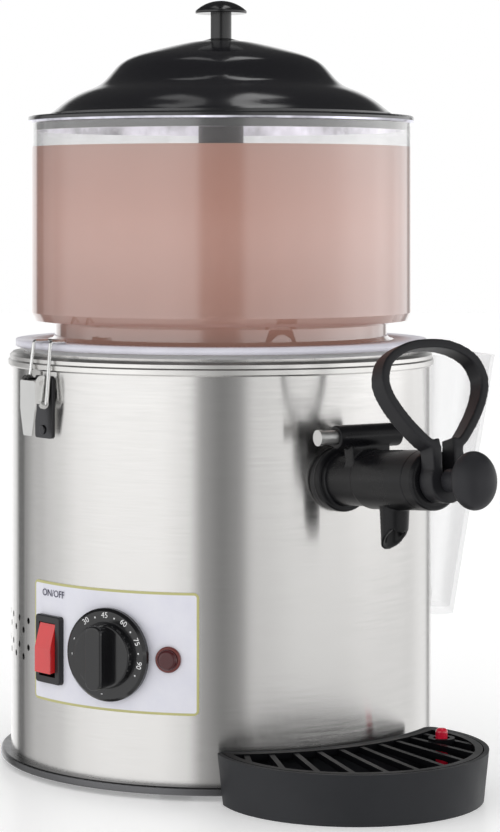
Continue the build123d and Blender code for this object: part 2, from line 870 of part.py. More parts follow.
def stirrer():
    """A column over the pot's centre tube, two upright paddles and two low blades with wipers."""
    bore_r = stirrer_r - stirrer_wall_t
    cap_z = column_top_z + clear
    body = tube(stirrer_r, stirrer_wall_t, stirrer_foot_z, cap_z + past)
    body += disc(stirrer_r, cap_z, cap_z + stirrer_cap_h)
    body = fillet(body.edges().sort_by(Axis.Z)[-1], stirrer_cap_edge_r)
    hole = disc(shaft_r + run, cap_z - past, shaft_top_z + fit)
    keep = block(4 * shaft_r, 2 * shaft_r, shaft_top_z, z0=flat_z + fit, y=2 * shaft_r - shaft_flat + run)
    body -= hole - keep
    for middle, turn in ((paddle_in_r, 0), (paddle_out_r, 180)):
        arm = stirrer_vane(middle + paddle_w / 2, paddle_t, arm_h, paddle_foot_z)
        wing = block(paddle_w, paddle_t, paddle_top_z - paddle_foot_z, z0=paddle_foot_z, x=middle)
        body += Rot(0, 0, turn) * (arm + wing)
    for turn in (90, 270):
        blade = stirrer_vane(blade_r, blade_t, blade_h, stirrer_foot_z)
        wiper = block(wiper_w, blade_t, wiper_top_z - stirrer_foot_z, z0=stirrer_foot_z, x=blade_r - wiper_w / 2)
        body += Rot(0, 0, turn) * (blade + wiper)
    return body - disc(bore_r, stirrer_foot_z - past, column_top_z)


# ---- water funnel ----

def funnel_solid(shrink, low, high):
    """The funnel's tapered form, drawn in by shrink on all sides."""
    sections = []
    for z, w, d in ((low, funnel_foot_w, funnel_foot_d), (high, funnel_w, funnel_d)):
        depth = d - 2 * shrink
        corner = min(funnel_round - shrink, depth * funnel_round_limit)
        sections.append(Pos(0, -body_r - d / 2 - clear, z) * RectangleRounded(w - 2 * shrink, depth, corner))
    return Rot(0, 0, funnel_angle) * loft(sections)


def water_funnel():
    body = funnel_solid(0, funnel_foot_z, funnel_top_z)
    body -= funnel_solid(funnel_wall, funnel_foot_z + 2 * funnel_wall, funnel_top_z + fit)
    plane = outward(funnel_angle, pipe_z)
    body += place(plane, disc(pipe_r + funnel_wall, body_r, body_r + 2 * funnel_wall))
    body -= place(plane, disc(pipe_r + fit, body_r - past, body_r + funnel_foot_d / 2))
    body -= disc(body_r + clear, 0, funnel_top_z + past)
    return body - disc(body_r + ring_over + clear, ring_z - clear, ring_top_z)


def filler_pipe():
    """Bent pipe from the funnel's foot, through the shell, up into the tank's floor."""
    outside = polar(body_r + 2 * funnel_wall, funnel_angle, pipe_z)
    corner = polar(pipe_rise_r, funnel_angle, pipe_z)
    top = polar(pipe_rise_r, funnel_angle, tank_floor_z)
    path = FilletPolyline(outside, corner, top, radius=pipe_bend_r)
    start = Plane(origin=path @ 0, z_dir=path % 0)
    return sweep(place(start, Circle(pipe_r)), path) - sweep(place(start, Circle(pipe_r - pipe_wall)), path)


def filler_grommet():
    plane = outward(funnel_angle, pipe_z)
    waist = place(plane, disc(grommet_r - grommet_lip - run, shell_in_r - grommet_t, body_r - fit))
    lip = place(plane, disc(grommet_r, shell_in_r - grommet_t, shell_in_r))
    ring = waist + (lip & disc(shell_in_r - run, 0, ring_z))
    return ring - place(plane, disc(pipe_r + run, 0, body_r + through))


# ---- tap ----

def across(r, length, up, out, middle=0.0):
    """A cylinder across the tap's axis, in the tap's own frame."""
    return Pos(middle, up, out) * Rot(0, 90, 0) * Cylinder(r, length)


def tap_gasket():
    ring = tube(tap_gasket_r, tap_gasket_r - spigot_r - fit, -lug_root, tap_gasket_t)
    return place(tap, ring) - disc(body_r, 0, ring_z)


def tap_lug():
    arm = block(lug_t, 2 * lug_r, boss_at + lug_root, z0=-lug_root, y=boss_up)
    arm += across(lug_r, lug_t, boss_up, boss_at)
    arm -= across(lock_pin_r + run, lug_t + past, boss_up, boss_at)
    return place(tap, arm) - disc(body_r, 0, ring_z)


def nozzle(r_top, r_tip, low):
    """The spout straight down from the barrel."""
    spot = (tap.location * Pos(0, 0, nozzle_at)).position
    return loft([Pos(spot.X, spot.Y, low) * Circle(r_tip), Pos(spot) * Circle(r_top)])


def nozzle_slant():
    """What the slanted tip leaves away, lowest at the side of the machine."""
    spot = (tap.location * Pos(0, 0, nozzle_at)).position
    size = 4 * nozzle_r
    below = Box(size, size, size, align=(Align.CENTER, Align.CENTER, Align.MAX))
    return Pos(spot.X, spot.Y + nozzle_tip_r, nozzle_tip_z) * Rot(-nozzle_cut, 0, 0) * below


def tap_body():
    body = disc(tap_flange_r, tap_gasket_t, tap_gasket_t + tap_flange_t)
    body = fillet(body.edges().sort_by(Axis.Z)[-1], tap_flange_edge_r)
    body += disc(tap_neck_r, tap_gasket_t, tap_neck_len + past)
    barrel = disc(tap_barrel_r, tap_neck_len, tap_len - tap_cap_len)
    body += fillet(barrel.edges().sort_by(Axis.Z)[0], tap_barrel_edge_r)
    body += block(boss_web_w, boss_up, boss_web_t, z0=boss_at - boss_web_t / 2, y=boss_up / 2)
    body += across(boss_r, boss_w, boss_up, boss_at)
    spout = tap.location.inverse() * nozzle(nozzle_r, nozzle_tip_r, nozzle_tip_z)
    body += spout
    body -= disc(spigot_r + fit, 0, spigot_reach + fit)
    body -= disc(spigot_r - spigot_t, 0, spigot_reach + tap_stop_t + past)
    body -= disc(tap_bore_r, spigot_reach + tap_stop_t, tap_len)
    body -= across(lock_pin_r + run, boss_w + past, boss_up, boss_at)
    slot = block(lug_t + 2 * fit, 2 * (lug_r + fit), boss_at, z0=0, y=boss_up)
    body -= slot + across(lug_r + fit, lug_t + 2 * fit, boss_up, boss_at)
    solid = place(tap, body)
    return solid - nozzle(nozzle_bore_r, nozzle_bore_r, nozzle_tip_z - past) - nozzle_slant()


def tap_cap():
    """The screwed cap that closes the barrel round the rod."""
    start = tap_len - tap_cap_len
    cap = disc(tap_barrel_r, start, tap_len)
    cap = fillet(cap.edges().sort_by(Axis.Z)[-1], tap_cap_round)
    cap += disc(tap_bore_r - fit, start - tap_cap_spigot, start + past)
    cap -= disc(tap_spring_room_r, start - tap_cap_spigot - past, tap_len - tap_cap_wall)
    return place(tap, cap - disc(rod_r + run, start, tap_len + past))


def tap_lock_pin():
    left = -boss_w / 2 - lock_pin_out
    right = boss_w / 2 + lock_pin_in
    pin = across(lock_pin_r, right - left, boss_up, boss_at, (left + right) / 2)
    pin = chamfer(pin.edges().filter_by(GeomType.CIRCLE), lock_pin_edge)
    head = across(lock_pin_head_r, lock_pin_head_t, boss_up, boss_at, left + lock_pin_head_t / 2)
    return place(tap, pin + head)


def oring_spots():
    return [piston_at + oring_inset, piston_at + piston_len - oring_inset]


def tap_piston():
    piston = disc(tap_bore_r - run, piston_at, piston_at + piston_len)
    for spot in oring_spots():
        groove = disc(tap_bore_r, spot - oring_r - run, spot + oring_r + run)
        piston -= groove - disc(oring_seat_r - oring_r - run, spot - 2 * oring_r, spot + 2 * oring_r)
    piston += disc(rod_r, piston_at, tap_knob_at + rod_in_knob)
    return place(tap, piston)


def tap_orings():
    rings = [place(tap, Pos(0, 0, spot) * Torus(oring_seat_r, oring_r)) for spot in oring_spots()]
    return Compound(rings)


def tap_spring():
    low = piston_at + piston_len + spring_wire_r + run
    high = tap_len - tap_cap_wall - spring_wire_r - run
    path = Helix((high - low) / spring_turns, high - low, spring_r)
    wire = sweep(Plane(origin=path @ 0, z_dir=path % 0) * Circle(spring_wire_r), path, is_frenet=True)
    return place(tap, Pos(0, 0, low) * wire)


def tap_knob():
    middle = tap_knob_at + tap_knob_neck_len + tap_knob_len / 2
    ball = scale(Sphere(1), by=(tap_knob_w / 2, tap_knob_h / 2, tap_knob_len / 2))
    knob = Pos(0, 0, middle) * ball + disc(tap_knob_neck_r, tap_knob_at, middle)
    return place(tap, knob - disc(rod_r + fit, tap_knob_at - past, tap_knob_at + rod_in_knob + fit))


def loop_outline(band):
    """The right half of the handle's egg-shaped loop, drawn in by the width of its band."""
    half_w = loop_w / 2 - band
    top = loop_h - band
    inside = band > 0
    foot = (loop_floor_w / 2, loop_floor) if inside else (fork_block_w / 2, 0)
    flank = (loop_flank_in_w, loop_flank_in_h) if inside else (loop_flank_w, loop_flank_h)
    brow = (half_w * loop_brow, loop_widest + (top - loop_widest) * loop_brow)
    return Spline(foot, flank, (half_w, loop_widest), brow, (0, top), tangents=[(1, 0.9), (-1, 0)])


def loop_face(band):
    right = loop_outline(band)
    left = mirror(right, Plane.YZ)
    base = Line(left @ 0, right @ 0)
    return make_face(right + left + base)


def fork_toe():
    """The round edge at the fork's foot, on which the handle rocks against the cap."""
    return across(fork_toe_r, fork_toe_w, fork_toe_r - fork_r, fork_toe_r)


def tap_handle():
    fork = disc(fork_r, 0, fork_t)
    fork -= block(2 * fork_r, fork_toe_r, fork_toe_r + past, z0=-past, y=fork_toe_r / 2 - fork_r)
    fork += fork_toe()
    fork += block(fork_block_w, loop_up + past, fork_t, y=(loop_up + past) / 2)
    loop = extrude(loop_face(0) - loop_face(loop_band), fork_t / 2, both=True)
    lean = Pos(0, loop_up, fork_t / 2) * Rot(-loop_lean, 0, 0)
    handle = fork + lean * loop
    slot_top = loop_up + loop_floor + fork_slot_above
    handle -= block(fork_slot_w, slot_top, 3 * fork_t, z0=-fork_t, y=slot_top / 2)
    handle -= disc(fork_slot_w / 2, -fork_t, 2 * fork_t)
    return place(tap, Pos(0, 0, fork_at) * handle)


# ---- control panel ----

def control_plate():
    ring = tube(panel_r, panel_t, panel_z - panel_h / 2, panel_z + panel_h / 2)
    chord = 2 * body_r * sin(radians(panel_half))
    window = extrude(RectangleRounded(chord, panel_h, panel_round), body_r + through)
    return (ring & place(outward(panel_angle, panel_z), window)) - panel_cutters(fit)


def switch_frame():
    front = panel_r + switch_flange_t
    back = body_r - switch_body_d
    root = body_r - switch_root
    frame = block(switch_w, switch_h, front - root, z0=root)
    frame = fillet(frame.edges().filter_by(Axis.Z), switch_corner_r)
    frame = fillet(frame.faces().sort_by(Axis.Z)[-1].edges(), switch_edge_r)
    plane = outward(switch_angle, switch_z)
    frame = place(plane, frame) - disc(panel_r, 0, ring_z)
    body = block(switch_body_w, switch_body_h, front - switch_edge_r - back, z0=back)
    hollow = block(rocker_w + 2 * clear, rocker_h + 2 * clear + 2 * rocker_end_room, front, z0=back + switch_back_t)
    length = rocker_w + 2 * clear + 2 * rocker_pin_in
    pins = Pos(0, 0, rocker_axis_r) * Rot(0, 90, 0) * Cylinder(rocker_pin_r + run, length)
    return frame + place(plane, body) - place(plane, hollow) - place(plane, pins)


def rocker():
    """A ridge-shaped key on two small pins, rocked to one side."""
    half = rocker_h / 2
    slope = tan(radians(rocker_peak))
    face = rocker_rise + rocker_sink
    side = make_face(Polyline(
        (0, 0, face),
        (0, half, face - half * slope),
        (0, half * rocker_foot, -rocker_waist),
        (0, 0, -rocker_keel),
        (0, -half * rocker_foot, -rocker_waist),
        (0, -half, face - half * slope), close=True))
    key = extrude(side, rocker_w / 2, both=True, dir=(1, 0, 0))
    pin = Cylinder(rocker_pin_r, rocker_w + 2 * clear + 2 * rocker_pin_in - 2 * run)
    key += Rot(0, 90, 0) * pin
    key = Pos(0, 0, rocker_axis_r) * Rot(-rocker_peak, 0, 0) * key
    return place(outward(switch_angle, switch_z), key)


def thermostat_body():
    low = shell_in_r - stat_gap - stat_d
    body = block(stat_w, stat_h, stat_d, z0=low)
    body = fillet(body.edges().filter_by(Axis.Z), stat_corner_r)
    body += disc(stat_neck_r, low + stat_d - past, panel_r + dial_lift - clear)
    body -= disc(stem_r + run, low + stat_d - stem_in, panel_r + dial_lift)
    return place(outward(dial_angle, dial_z), body)


def stem_flat_cut(start, side):
    """The part of the stem that its flat takes away, from a start and beyond."""
    size = 4 * stem_r
    return block(size, size, stem_out, z0=start, y=size / 2 + side)


def thermostat_stem():
    low = shell_in_r - stat_gap - stem_in + fit
    stem = disc(stem_r, low, panel_r + stem_out)
    stem -= stem_flat_cut(panel_r + stem_flat_from, stem_r - stem_flat)
    return place(outward(dial_angle, dial_z), stem)


def thermostat_knob():
    low = panel_r + dial_lift
    high = low + dial_cup_h + dial_grip_h
    skirt = disc(dial_r, low, low + dial_t)
    skirt = chamfer(skirt.edges().sort_by(Axis.Z)[-1], dial_edge)
    cup = Cone(dial_cup_r, dial_cup_r - dial_cup_taper, dial_cup_h, align=(Align.CENTER, Align.CENTER, Align.MIN))
    cup = Pos(0, 0, low) * cup
    cup = fillet(cup.edges().sort_by(Axis.Z)[-1], dial_cup_edge_r)
    grip = block(dial_grip_w, dial_grip_len, high - low, z0=low)
    grip = fillet(grip.edges().filter_by(Axis.Z), dial_grip_corner_r)
    grip = fillet(grip.faces().sort_by(Axis.Z)[-1].edges(), dial_grip_edge_r)
    grip &= disc(dial_cup_r - dial_grip_inset, low, high + past)
    bore = disc(stem_r + run, low - past, panel_r + stem_out + fit)
    flat = stem_flat_cut(panel_r + stem_flat_from + stem_flat_room, stem_r - stem_flat + run)
    return place(outward(dial_angle, dial_z), skirt + cup + grip - (bore - flat))


def thermostat_probe():
    """The thermostat's bulb, clipped along the outside of the tank."""
    plane = outward(dial_angle, bulb_z, tank_r + bulb_r + fit)
    bulb = Rot(0, 90, 0) * Cylinder(bulb_r, bulb_len)
    return place(plane, fillet(bulb.edges(), bulb_end_r))


def lamp_bezel():
    plane = outward(lamp_angle, lamp_z)
    back = body_r - lamp_body_d
    body = disc(lamp_r, body_r - lamp_flange_t, panel_r + lamp_flange_t)
    body = fillet(body.edges().sort_by(Axis.Z)[-1], lamp_edge_r)
    body = place(plane, body) - disc(panel_r, 0, ring_z)
    pocket = disc(lamp_lens_r + fit, panel_r + lamp_seat_t, panel_r + through)
    pocket += disc(lamp_body_r - lamp_socket_wall, back + lamp_back_t, panel_r + through)
    return body + place(plane, disc(lamp_body_r, back, panel_r + lamp_seat_t)) - place(plane, pocket)


def lamp_lens():
    low = panel_r + lamp_seat_t
    lens = disc(lamp_lens_r, low, panel_r + lamp_flange_t + lamp_dome_h)
    lens = fillet(lens.edges().sort_by(Axis.Z)[-1], lamp_lens_edge_r)
    lens += disc(lamp_body_r - lamp_socket_wall - fit, low - lamp_lens_tail, low + past)
    return place(outward(lamp_angle, lamp_z), lens)


# ---- rear ----

def cable_gland():
    plane = outward(gland_angle, gland_z)
    collar = place(plane, disc(gland_r, body_r - past, body_r + gland_collar_t)) - disc(body_r, 0, ring_z)
    wide = gland_r - gland_nose_step
    nose = Cone(wide, wide - gland_nose_taper, gland_out - gland_collar_t,
                align=(Align.CENTER, Align.CENTER, Align.MIN))
    nose = Pos(0, 0, body_r + gland_collar_t) * nose
    thread = disc(gland_thread_r, body_r - gland_thread_len, body_r + past)
    return collar + place(plane, nose + thread) - through_shell(plane, gland_bore_r)


def gland_nut():
    high = shell_in_r - gland_nut_gap
    nut = Pos(0, 0, high - gland_nut_t) * extrude(RegularPolygon(gland_nut_r, 6), gland_nut_t)
    plane = outward(gland_angle, gland_z)
    return place(plane, nut) - through_shell(plane, gland_thread_r + run)


def terminal_block():
    strip = block(terminal_w, terminal_d, terminal_h, z0=base_z)
    pitch = terminal_w / terminal_ways
    for n in range(terminal_ways):
        x = (n + 0.5) * pitch - terminal_w / 2
        for y in (-terminal_hole_side, terminal_hole_side):
            strip -= disc(terminal_hole_r, base_z + terminal_floor, base_z + terminal_h + past, (x, y))
    p = polar(terminal_ring_r, terminal_angle)
    return Pos(p.X, p.Y, 0) * Rot(0, 0, terminal_angle) * strip


# ---- latches ----

def latch_frame(side):
    """Across the latch is X, up is Y and outward is Z, with the origin on the body's axis."""
    return outward(latch_angles[side], latch_pivot_z)


def latch_plate(side):
    """A plate riveted to the shell, with two ears that carry the lever's pin."""
    low = latch_pivot_z - latch_plate_low
    high = latch_pivot_z + latch_plate_high
    middle = (latch_plate_high - latch_plate_low) / 2
    outline = block(latch_plate_w, high - low, 2 * through, z0=body_r - through, y=middle)
    outline = fillet(outline.edges().filter_by(Axis.Z), latch_plate_corner_r)
    plane = latch_frame(side)
    bracket = tube(body_r + latch_plate_t, latch_plate_t, low - past, high + past) & place(plane, outline)
    for x in (-1, 1):
        mid = x * (latch_ear_gap + latch_ear_t) / 2
        ear = block(latch_ear_t, 2 * latch_ear_r, latch_out - latch_ear_root, z0=body_r + latch_ear_root, x=mid)
        bracket += place(plane, ear + latch_cross(latch_ear_r, latch_ear_t, mid))
    bracket -= place(plane, latch_cross(latch_pin_r + run, 2 * latch_ear_gap))
    for spot in latch_rivet_spots():
        bracket -= through_shell(spot, latch_rivet_r + run)
    return bracket


def latch_cross(r, length, x=0.0, up=0.0, out=None):
    """A cylinder across the latch, on the lever's hinge unless another place is given."""
    return Pos(x, up, latch_pivot_r if out is None else out) * Rot(0, 90, 0) * Cylinder(r, length)


def latch_rivets():
    rivets = []
    face = body_r + latch_plate_t
    tail_low = shell_in_r - latch_rivet_tail_gap - latch_rivet_tail_t
    for spot in latch_rivet_spots():
        head = disc(latch_rivet_head_r, face, face + latch_rivet_head_t)
        head = fillet(head.edges().sort_by(Axis.Z)[-1], latch_rivet_edge_r)
        tail = disc(latch_rivet_head_r, tail_low, tail_low + latch_rivet_tail_t)
        rivets.append(place(spot, disc(latch_rivet_r, tail_low, face + latch_rivet_head_t) + head + tail))
    return Compound(rivets)


def latch_pins():
    pin = latch_cross(latch_pin_r, lever_w + latch_pin_over)
    return Compound([place(latch_frame(side), pin) for side in latch_angles])


def bail_pivot():
    """The bail's hinge in the latch's frame, as (up, out)."""
    return -latch_drop, latch_pivot_r - latch_inset


def latch_lever(side):
    """A channel that tapers to its tip, hinged on the plate's ears."""
    face_at = latch_pivot_r + lever_depth - lever_t
    shoulder = -latch_drop - lever_bail_eye_r
    half, tip = lever_w / 2, lever_tip_w / 2
    outline = make_face(Polyline((-half, lever_rise), (half, lever_rise), (half, shoulder), (tip, -lever_len),
                                 (-tip, -lever_len), (-half, shoulder), close=True))
    lever = Pos(0, 0, face_at) * extrude(outline, lever_t)
    lever = fillet(lever.edges().filter_by(Axis.Z), lever_corner_r)
    up, out = bail_pivot()
    low = out - lever_bail_eye_r / 2
    for x in (-1, 1):
        mid = x * (lever_w - lever_t) / 2
        lever += block(lever_t, latch_drop, face_at + lever_t / 2 - low, z0=low, x=mid, y=-latch_drop / 2)
        lever += latch_cross(lever_eye_r, lever_t, mid)
        lever += latch_cross(lever_bail_eye_r, lever_t, mid, up, out)
    lever -= latch_cross(latch_pin_r + run, 2 * lever_w)
    lever -= latch_cross(bail_wire_r + run, 2 * lever_w, 0, up, out)
    return place(latch_frame(side), lever)


def latch_bail(side):
    """A wire loop from the lever's sides up over the bowl's flange."""
    up, out = bail_pivot()
    half, bar_half = bail_w / 2, bail_bar_w / 2
    bar_y = flange_top_z + bail_wire_r + clear - latch_pivot_z
    end_x = lever_w / 2 - lever_t - bail_end_gap
    points = [
        (-end_x, up, out),
        (-half, up, out),
        (-bar_half, bar_y, out - bail_lean),
        (-bar_half, bar_y, bail_reach_r),
        (bar_half, bar_y, bail_reach_r),
        (bar_half, bar_y, out - bail_lean),
        (half, up, out),
        (end_x, up, out),
    ]
    path = FilletPolyline(*points, radius=bail_bend_r)
    wire = sweep(Plane(origin=path @ 0, z_dir=path % 0) * Circle(bail_wire_r), path)
    return place(latch_frame(side), wire)


# ---- drip tray ----

def tray_face(r, back_r):
    """The tray's plan: a round front with a hollow back that follows the base."""
    return Pos(0, -tray_at) * Circle(r) - Circle(back_r)


def tray_prism(r, back_r, z0, z1):
    return Pos(0, 0, z0) * extrude(tray_face(r, back_r), z1 - z0)


def drip_tray():
    body = loft([Pos(0, -tray_at, 0) * Circle(tray_foot_r), Pos(0, -tray_at, tray_h) * Circle(tray_r)])
    body -= disc(tray_back_r, -past, tray_h + past)
    corners = body.edges().filter_by(lambda e: Vector((e @ 0.5).X, (e @ 0.5).Y).length < tray_back_r + past
                                     and abs((e @ 0).Z - (e @ 1).Z) > tray_h / 2)
    body = fillet(corners, tray_corner_r)
    basin = tray_prism(tray_foot_r - tray_wall, tray_back_r + tray_wall, tray_floor_t, tray_h + past)
    ledge = tray_prism(tray_r - tray_wall, tray_back_r + tray_wall - tray_ledge, grid_low_z, tray_h + past)
    return body - basin - ledge


def drip_grid():
    """A rim with slats that fan out, and a raised ring for the float."""
    back = tray_back_r + tray_wall - tray_ledge + grid_play
    r = tray_r - tray_wall - grid_play
    low = grid_low_z + run
    high = low + grid_t
    plan = tray_prism(r, back, low, high)
    grid = plan - tray_prism(r - grid_rim, back + grid_rim, low - past, high + past)
    pivot = Pos(slat_pivot_side, slat_pivot_back, 0)
    reach = tray_at + tray_r + slat_pivot_back
    slat = block(slat_t, reach, grid_t - slat_below, z0=low, y=-reach / 2)
    for n in range(slat_count):
        grid += (pivot * Rot(0, 0, slat_first + n * slat_turn) * slat) & plan
    grid += disc(float_ring_r, low, high + float_ring_over, float_spot)
    return grid - disc(float_hole_r, low - past, high + float_ring_over + past, float_spot)


def drip_float():
    foot = disc(float_foot_r, float_foot_z, float_foot_z + float_foot_h, float_spot)
    flag = disc(float_r, float_foot_z, tray_h + float_rise, float_spot)
    return foot + fillet(flag.edges().sort_by(Axis.Z)[-1], float_top_r)


nodes = {
    "base_plate": base_plate(),
    "feet": feet(),
    "foot_screws": foot_screws(),
    "body_shell": body_shell(),
    "top_ring": top_ring(),
    "inner_pot": inner_pot(),
    "water_tank": water_tank(),
    "heating_element": heating_element(),
    "level_probe": level_probe(),
    "safety_cutout": safety_cutout(),
    "bowl_gasket": bowl_gasket(),
    "bowl": bowl(),
    "lid": lid(),
    "lid_knob": lid_knob(),
    "lid_knob_screw": lid_knob_screw(),
    "shaft_bush": shaft_bush(),
    "drive_shaft": Rot(0, 0, stirrer_turn) * drive_shaft(),
    "stirrer": Rot(0, 0, stirrer_turn) * stirrer(),
    "gearbox": gearbox(),
    "motor": motor(),
    "motor_bracket": motor_bracket(),
    "bracket_screws": bracket_screws(),
    "water_funnel": water_funnel(),
    "filler_pipe": filler_pipe(),
    "filler_grommet": filler_grommet(),
    "tap_gasket": tap_gasket(),
    "tap_lug": tap_lug(),
    "tap_body": tap_body(),
    "tap_cap": tap_cap(),
    "tap_lock_pin": tap_lock_pin(),
    "tap_piston": tap_piston(),
    "tap_orings": tap_orings(),
    "tap_spring": tap_spring(),
    "tap_knob": tap_knob(),
    "tap_handle": tap_handle(),
    "control_plate": control_plate(),
    "switch_frame": switch_frame(),
    "rocker": rocker(),
    "thermostat_body": thermostat_body(),
    "thermostat_stem": thermostat_stem(),
    "thermostat_knob": thermostat_knob(),
    "thermostat_probe": thermostat_probe(),
    "lamp_bezel": lamp_bezel(),
    "lamp_lens": lamp_lens(),
    "cable_gland": cable_gland(),
    "gland_nut": gland_nut(),
    "terminal_block": terminal_block(),
    "latch_rivets": latch_rivets(),
    "latch_pins": latch_pins(),
    "drip_tray": drip_tray(),
    "drip_grid": drip_grid(),
    "drip_float": drip_float(),
}
for side in latch_angles:
    nodes[f"latch_plate_{side}"] = latch_plate(side)
    nodes[f"latch_lever_{side}"] = latch_lever(side)
    nodes[f"latch_bail_{side}"] = latch_bail(side)

for name, shape in nodes.items():
    export_step(shape, f"parts/{name}.step")
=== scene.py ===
"""Looks of the hot chocolate dispenser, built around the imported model."""
import json
import math

import bmesh
import bpy
from mathutils import Matrix, Vector


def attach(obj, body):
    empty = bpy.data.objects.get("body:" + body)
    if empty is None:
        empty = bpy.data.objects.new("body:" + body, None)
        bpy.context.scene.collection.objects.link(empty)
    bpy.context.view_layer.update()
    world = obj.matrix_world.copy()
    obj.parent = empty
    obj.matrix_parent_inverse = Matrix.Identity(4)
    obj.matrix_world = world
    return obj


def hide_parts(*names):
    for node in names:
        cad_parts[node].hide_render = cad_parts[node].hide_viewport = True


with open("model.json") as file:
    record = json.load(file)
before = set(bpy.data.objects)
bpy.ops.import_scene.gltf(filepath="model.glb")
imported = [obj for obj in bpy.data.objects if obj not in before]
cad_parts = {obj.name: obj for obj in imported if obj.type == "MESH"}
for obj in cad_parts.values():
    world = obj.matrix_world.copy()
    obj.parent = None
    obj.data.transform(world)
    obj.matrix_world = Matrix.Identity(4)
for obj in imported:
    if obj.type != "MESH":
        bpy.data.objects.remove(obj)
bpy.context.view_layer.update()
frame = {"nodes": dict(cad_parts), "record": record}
nodes = frame["nodes"]
joints = {joint["name"]: joint for joint in frame["record"]["behaviour"]["joints"]}
mm = 0.001

# sizes of the machine that the looks follow, in metres
body_r = 130 * mm
bowl_r = 118 * mm
bowl_wall = 2.2 * mm
pot_r = 98.5 * mm
pot_low_z = 236 * mm         # how far down the pot its drink is drawn
neck_r = 100.8 * mm          # the bowl's neck, inside
flange_in_r = 107 * mm
flange_r = 127 * mm
flange_top_z = 258.4 * mm
flange_low_z = 254.6 * mm
drink_top_z = 376 * mm
panel_r = 130.6 * mm
panel_angle = -63.25         # degrees round the machine from its front
panel_z = 83.25 * mm
panel_w = 119.1 * mm
panel_h = 70.5 * mm
panel_round = 3 * mm
panel_line = 1.3 * mm        # width of the line printed round the panel
panel_line_edge = 0.3 * mm   # how softly the line ends
dial_angle = panel_angle + math.degrees(5.1 * mm / body_r)
dial_z = 81 * mm
dial_face_r = 135.8 * mm     # from the machine's axis out to the dial's skirt
switch_angle = panel_angle - math.degrees(41.8 * mm / body_r)
words_z = 111.8 * mm
print_lift = 0.12 * mm       # how far print stands off what carries it
print_t = 0.06 * mm

# the camera: how far, how high and which way it looks
camera_turn = -31.5          # degrees round the machine from its front, towards its left
camera_reach = 1.690
camera_height = 0.341
frame_px = (500, 832)
focal_px = 2722.0
eye_px = (221, 205)          # where the camera's own axis meets the frame
sensor_mm = 36.0

floor_r = 7.0


# ---------------------------------------------------------------- node helpers

def put(tree, kind, **settings):
    """A new shader node; a key that starts with in_ sets an input, others set a property."""
    node = tree.nodes.new(kind)
    for key, value in settings.items():
        if key.startswith("in_"):
            node.inputs[key[3:].replace("_", " ")].default_value = value
        else:
            setattr(node, key, value)
    return node


def join(tree, source, target):
    tree.links.new(source, target)


def feed(tree, target, term):
    """A socket, a number or a colour into an input."""
    if isinstance(term, bpy.types.NodeSocket):
        join(tree, term, target)
    else:
        target.default_value = term


def math_node(tree, operation, *terms):
    """One sum in a material; each term is a socket or a number."""
    node = put(tree, "ShaderNodeMath", operation=operation)
    for target, term in zip(node.inputs, terms):
        feed(tree, target, term)
    return node.outputs[0]


def spread(tree, source, start=0.0, end=1.0, first=0.0, last=1.0, smooth=False):
    """A value that goes from first to last while the source goes from start to end."""
    kind = "SMOOTHSTEP" if smooth else "LINEAR"
    node = put(tree, "ShaderNodeMapRange", interpolation_type=kind)
    terms = {"Value": source, "From Min": start, "From Max": end, "To Min": first, "To Max": last}
    for label, term in terms.items():
        feed(tree, node.inputs[label], term)
    return node.outputs[0]


def blend_colours(tree, factor, first, second):
    node = put(tree, "ShaderNodeMix", data_type="RGBA")
    for slot, term in ((0, factor), (6, first), (7, second)):
        feed(tree, node.inputs[slot], term)
    return node.outputs[2]


def blend_values(tree, factor, first, second):
    node = put(tree, "ShaderNodeMix", data_type="FLOAT")
    for slot, term in ((0, factor), (2, first), (3, second)):
        feed(tree, node.inputs[slot], term)
    return node.outputs[0]


def split(tree, source):
    """The X, Y and Z of a vector."""
    node = put(tree, "ShaderNodeSeparateXYZ")
    join(tree, source, node.inputs[0])
    return node.outputs["X"], node.outputs["Y"], node.outputs["Z"]


def spot_on(tree):
    """Where on its own object a surface point is: X, Y and Z."""
    return split(tree, put(tree, "ShaderNodeTexCoord").outputs["Object"])


def grey(value):
    return (value, value, value, 1.0)


def scaled(colour, share):
    return tuple(part * share for part in colour[:3]) + (1.0,)


def group(name, inputs, outputs):
    """An empty shader group of value sockets, {"Name": default} in and ["Name"] out."""
    tree = bpy.data.node_groups.new(name, "ShaderNodeTree")
    for label, default in inputs.items():
        socket = tree.interface.new_socket(label, in_out="INPUT", socket_type="NodeSocketFloat")
        socket.default_value = default
    for label in outputs:
        tree.interface.new_socket(label, in_out="OUTPUT", socket_type="NodeSocketFloat")
    return tree, tree.nodes.new("NodeGroupInput"), tree.nodes.new("NodeGroupOutput")


def place_group(tree, source, **values):
    """One use of a group in a material, with its own values."""
    node = tree.nodes.new("ShaderNodeGroup")
    node.node_tree = source
    for key, value in values.items():
        node.inputs[key].default_value = value
    return node.outputs[0]


def principled(name, **values):
    """A material with one Principled BSDF, and its tree and shader."""
    material = bpy.data.materials.new(name)
    material.use_nodes = True
    tree = material.node_tree
    shader = tree.nodes["Principled BSDF"]
    for key, value in values.items():
        shader.inputs[key.replace("_", " ")].default_value = value
    return material, tree, shader


# ---------------------------------------------------------------- shared effects

noise_low, noise_high = 0.3, 0.7    # the part of a noise that counts as its whole range


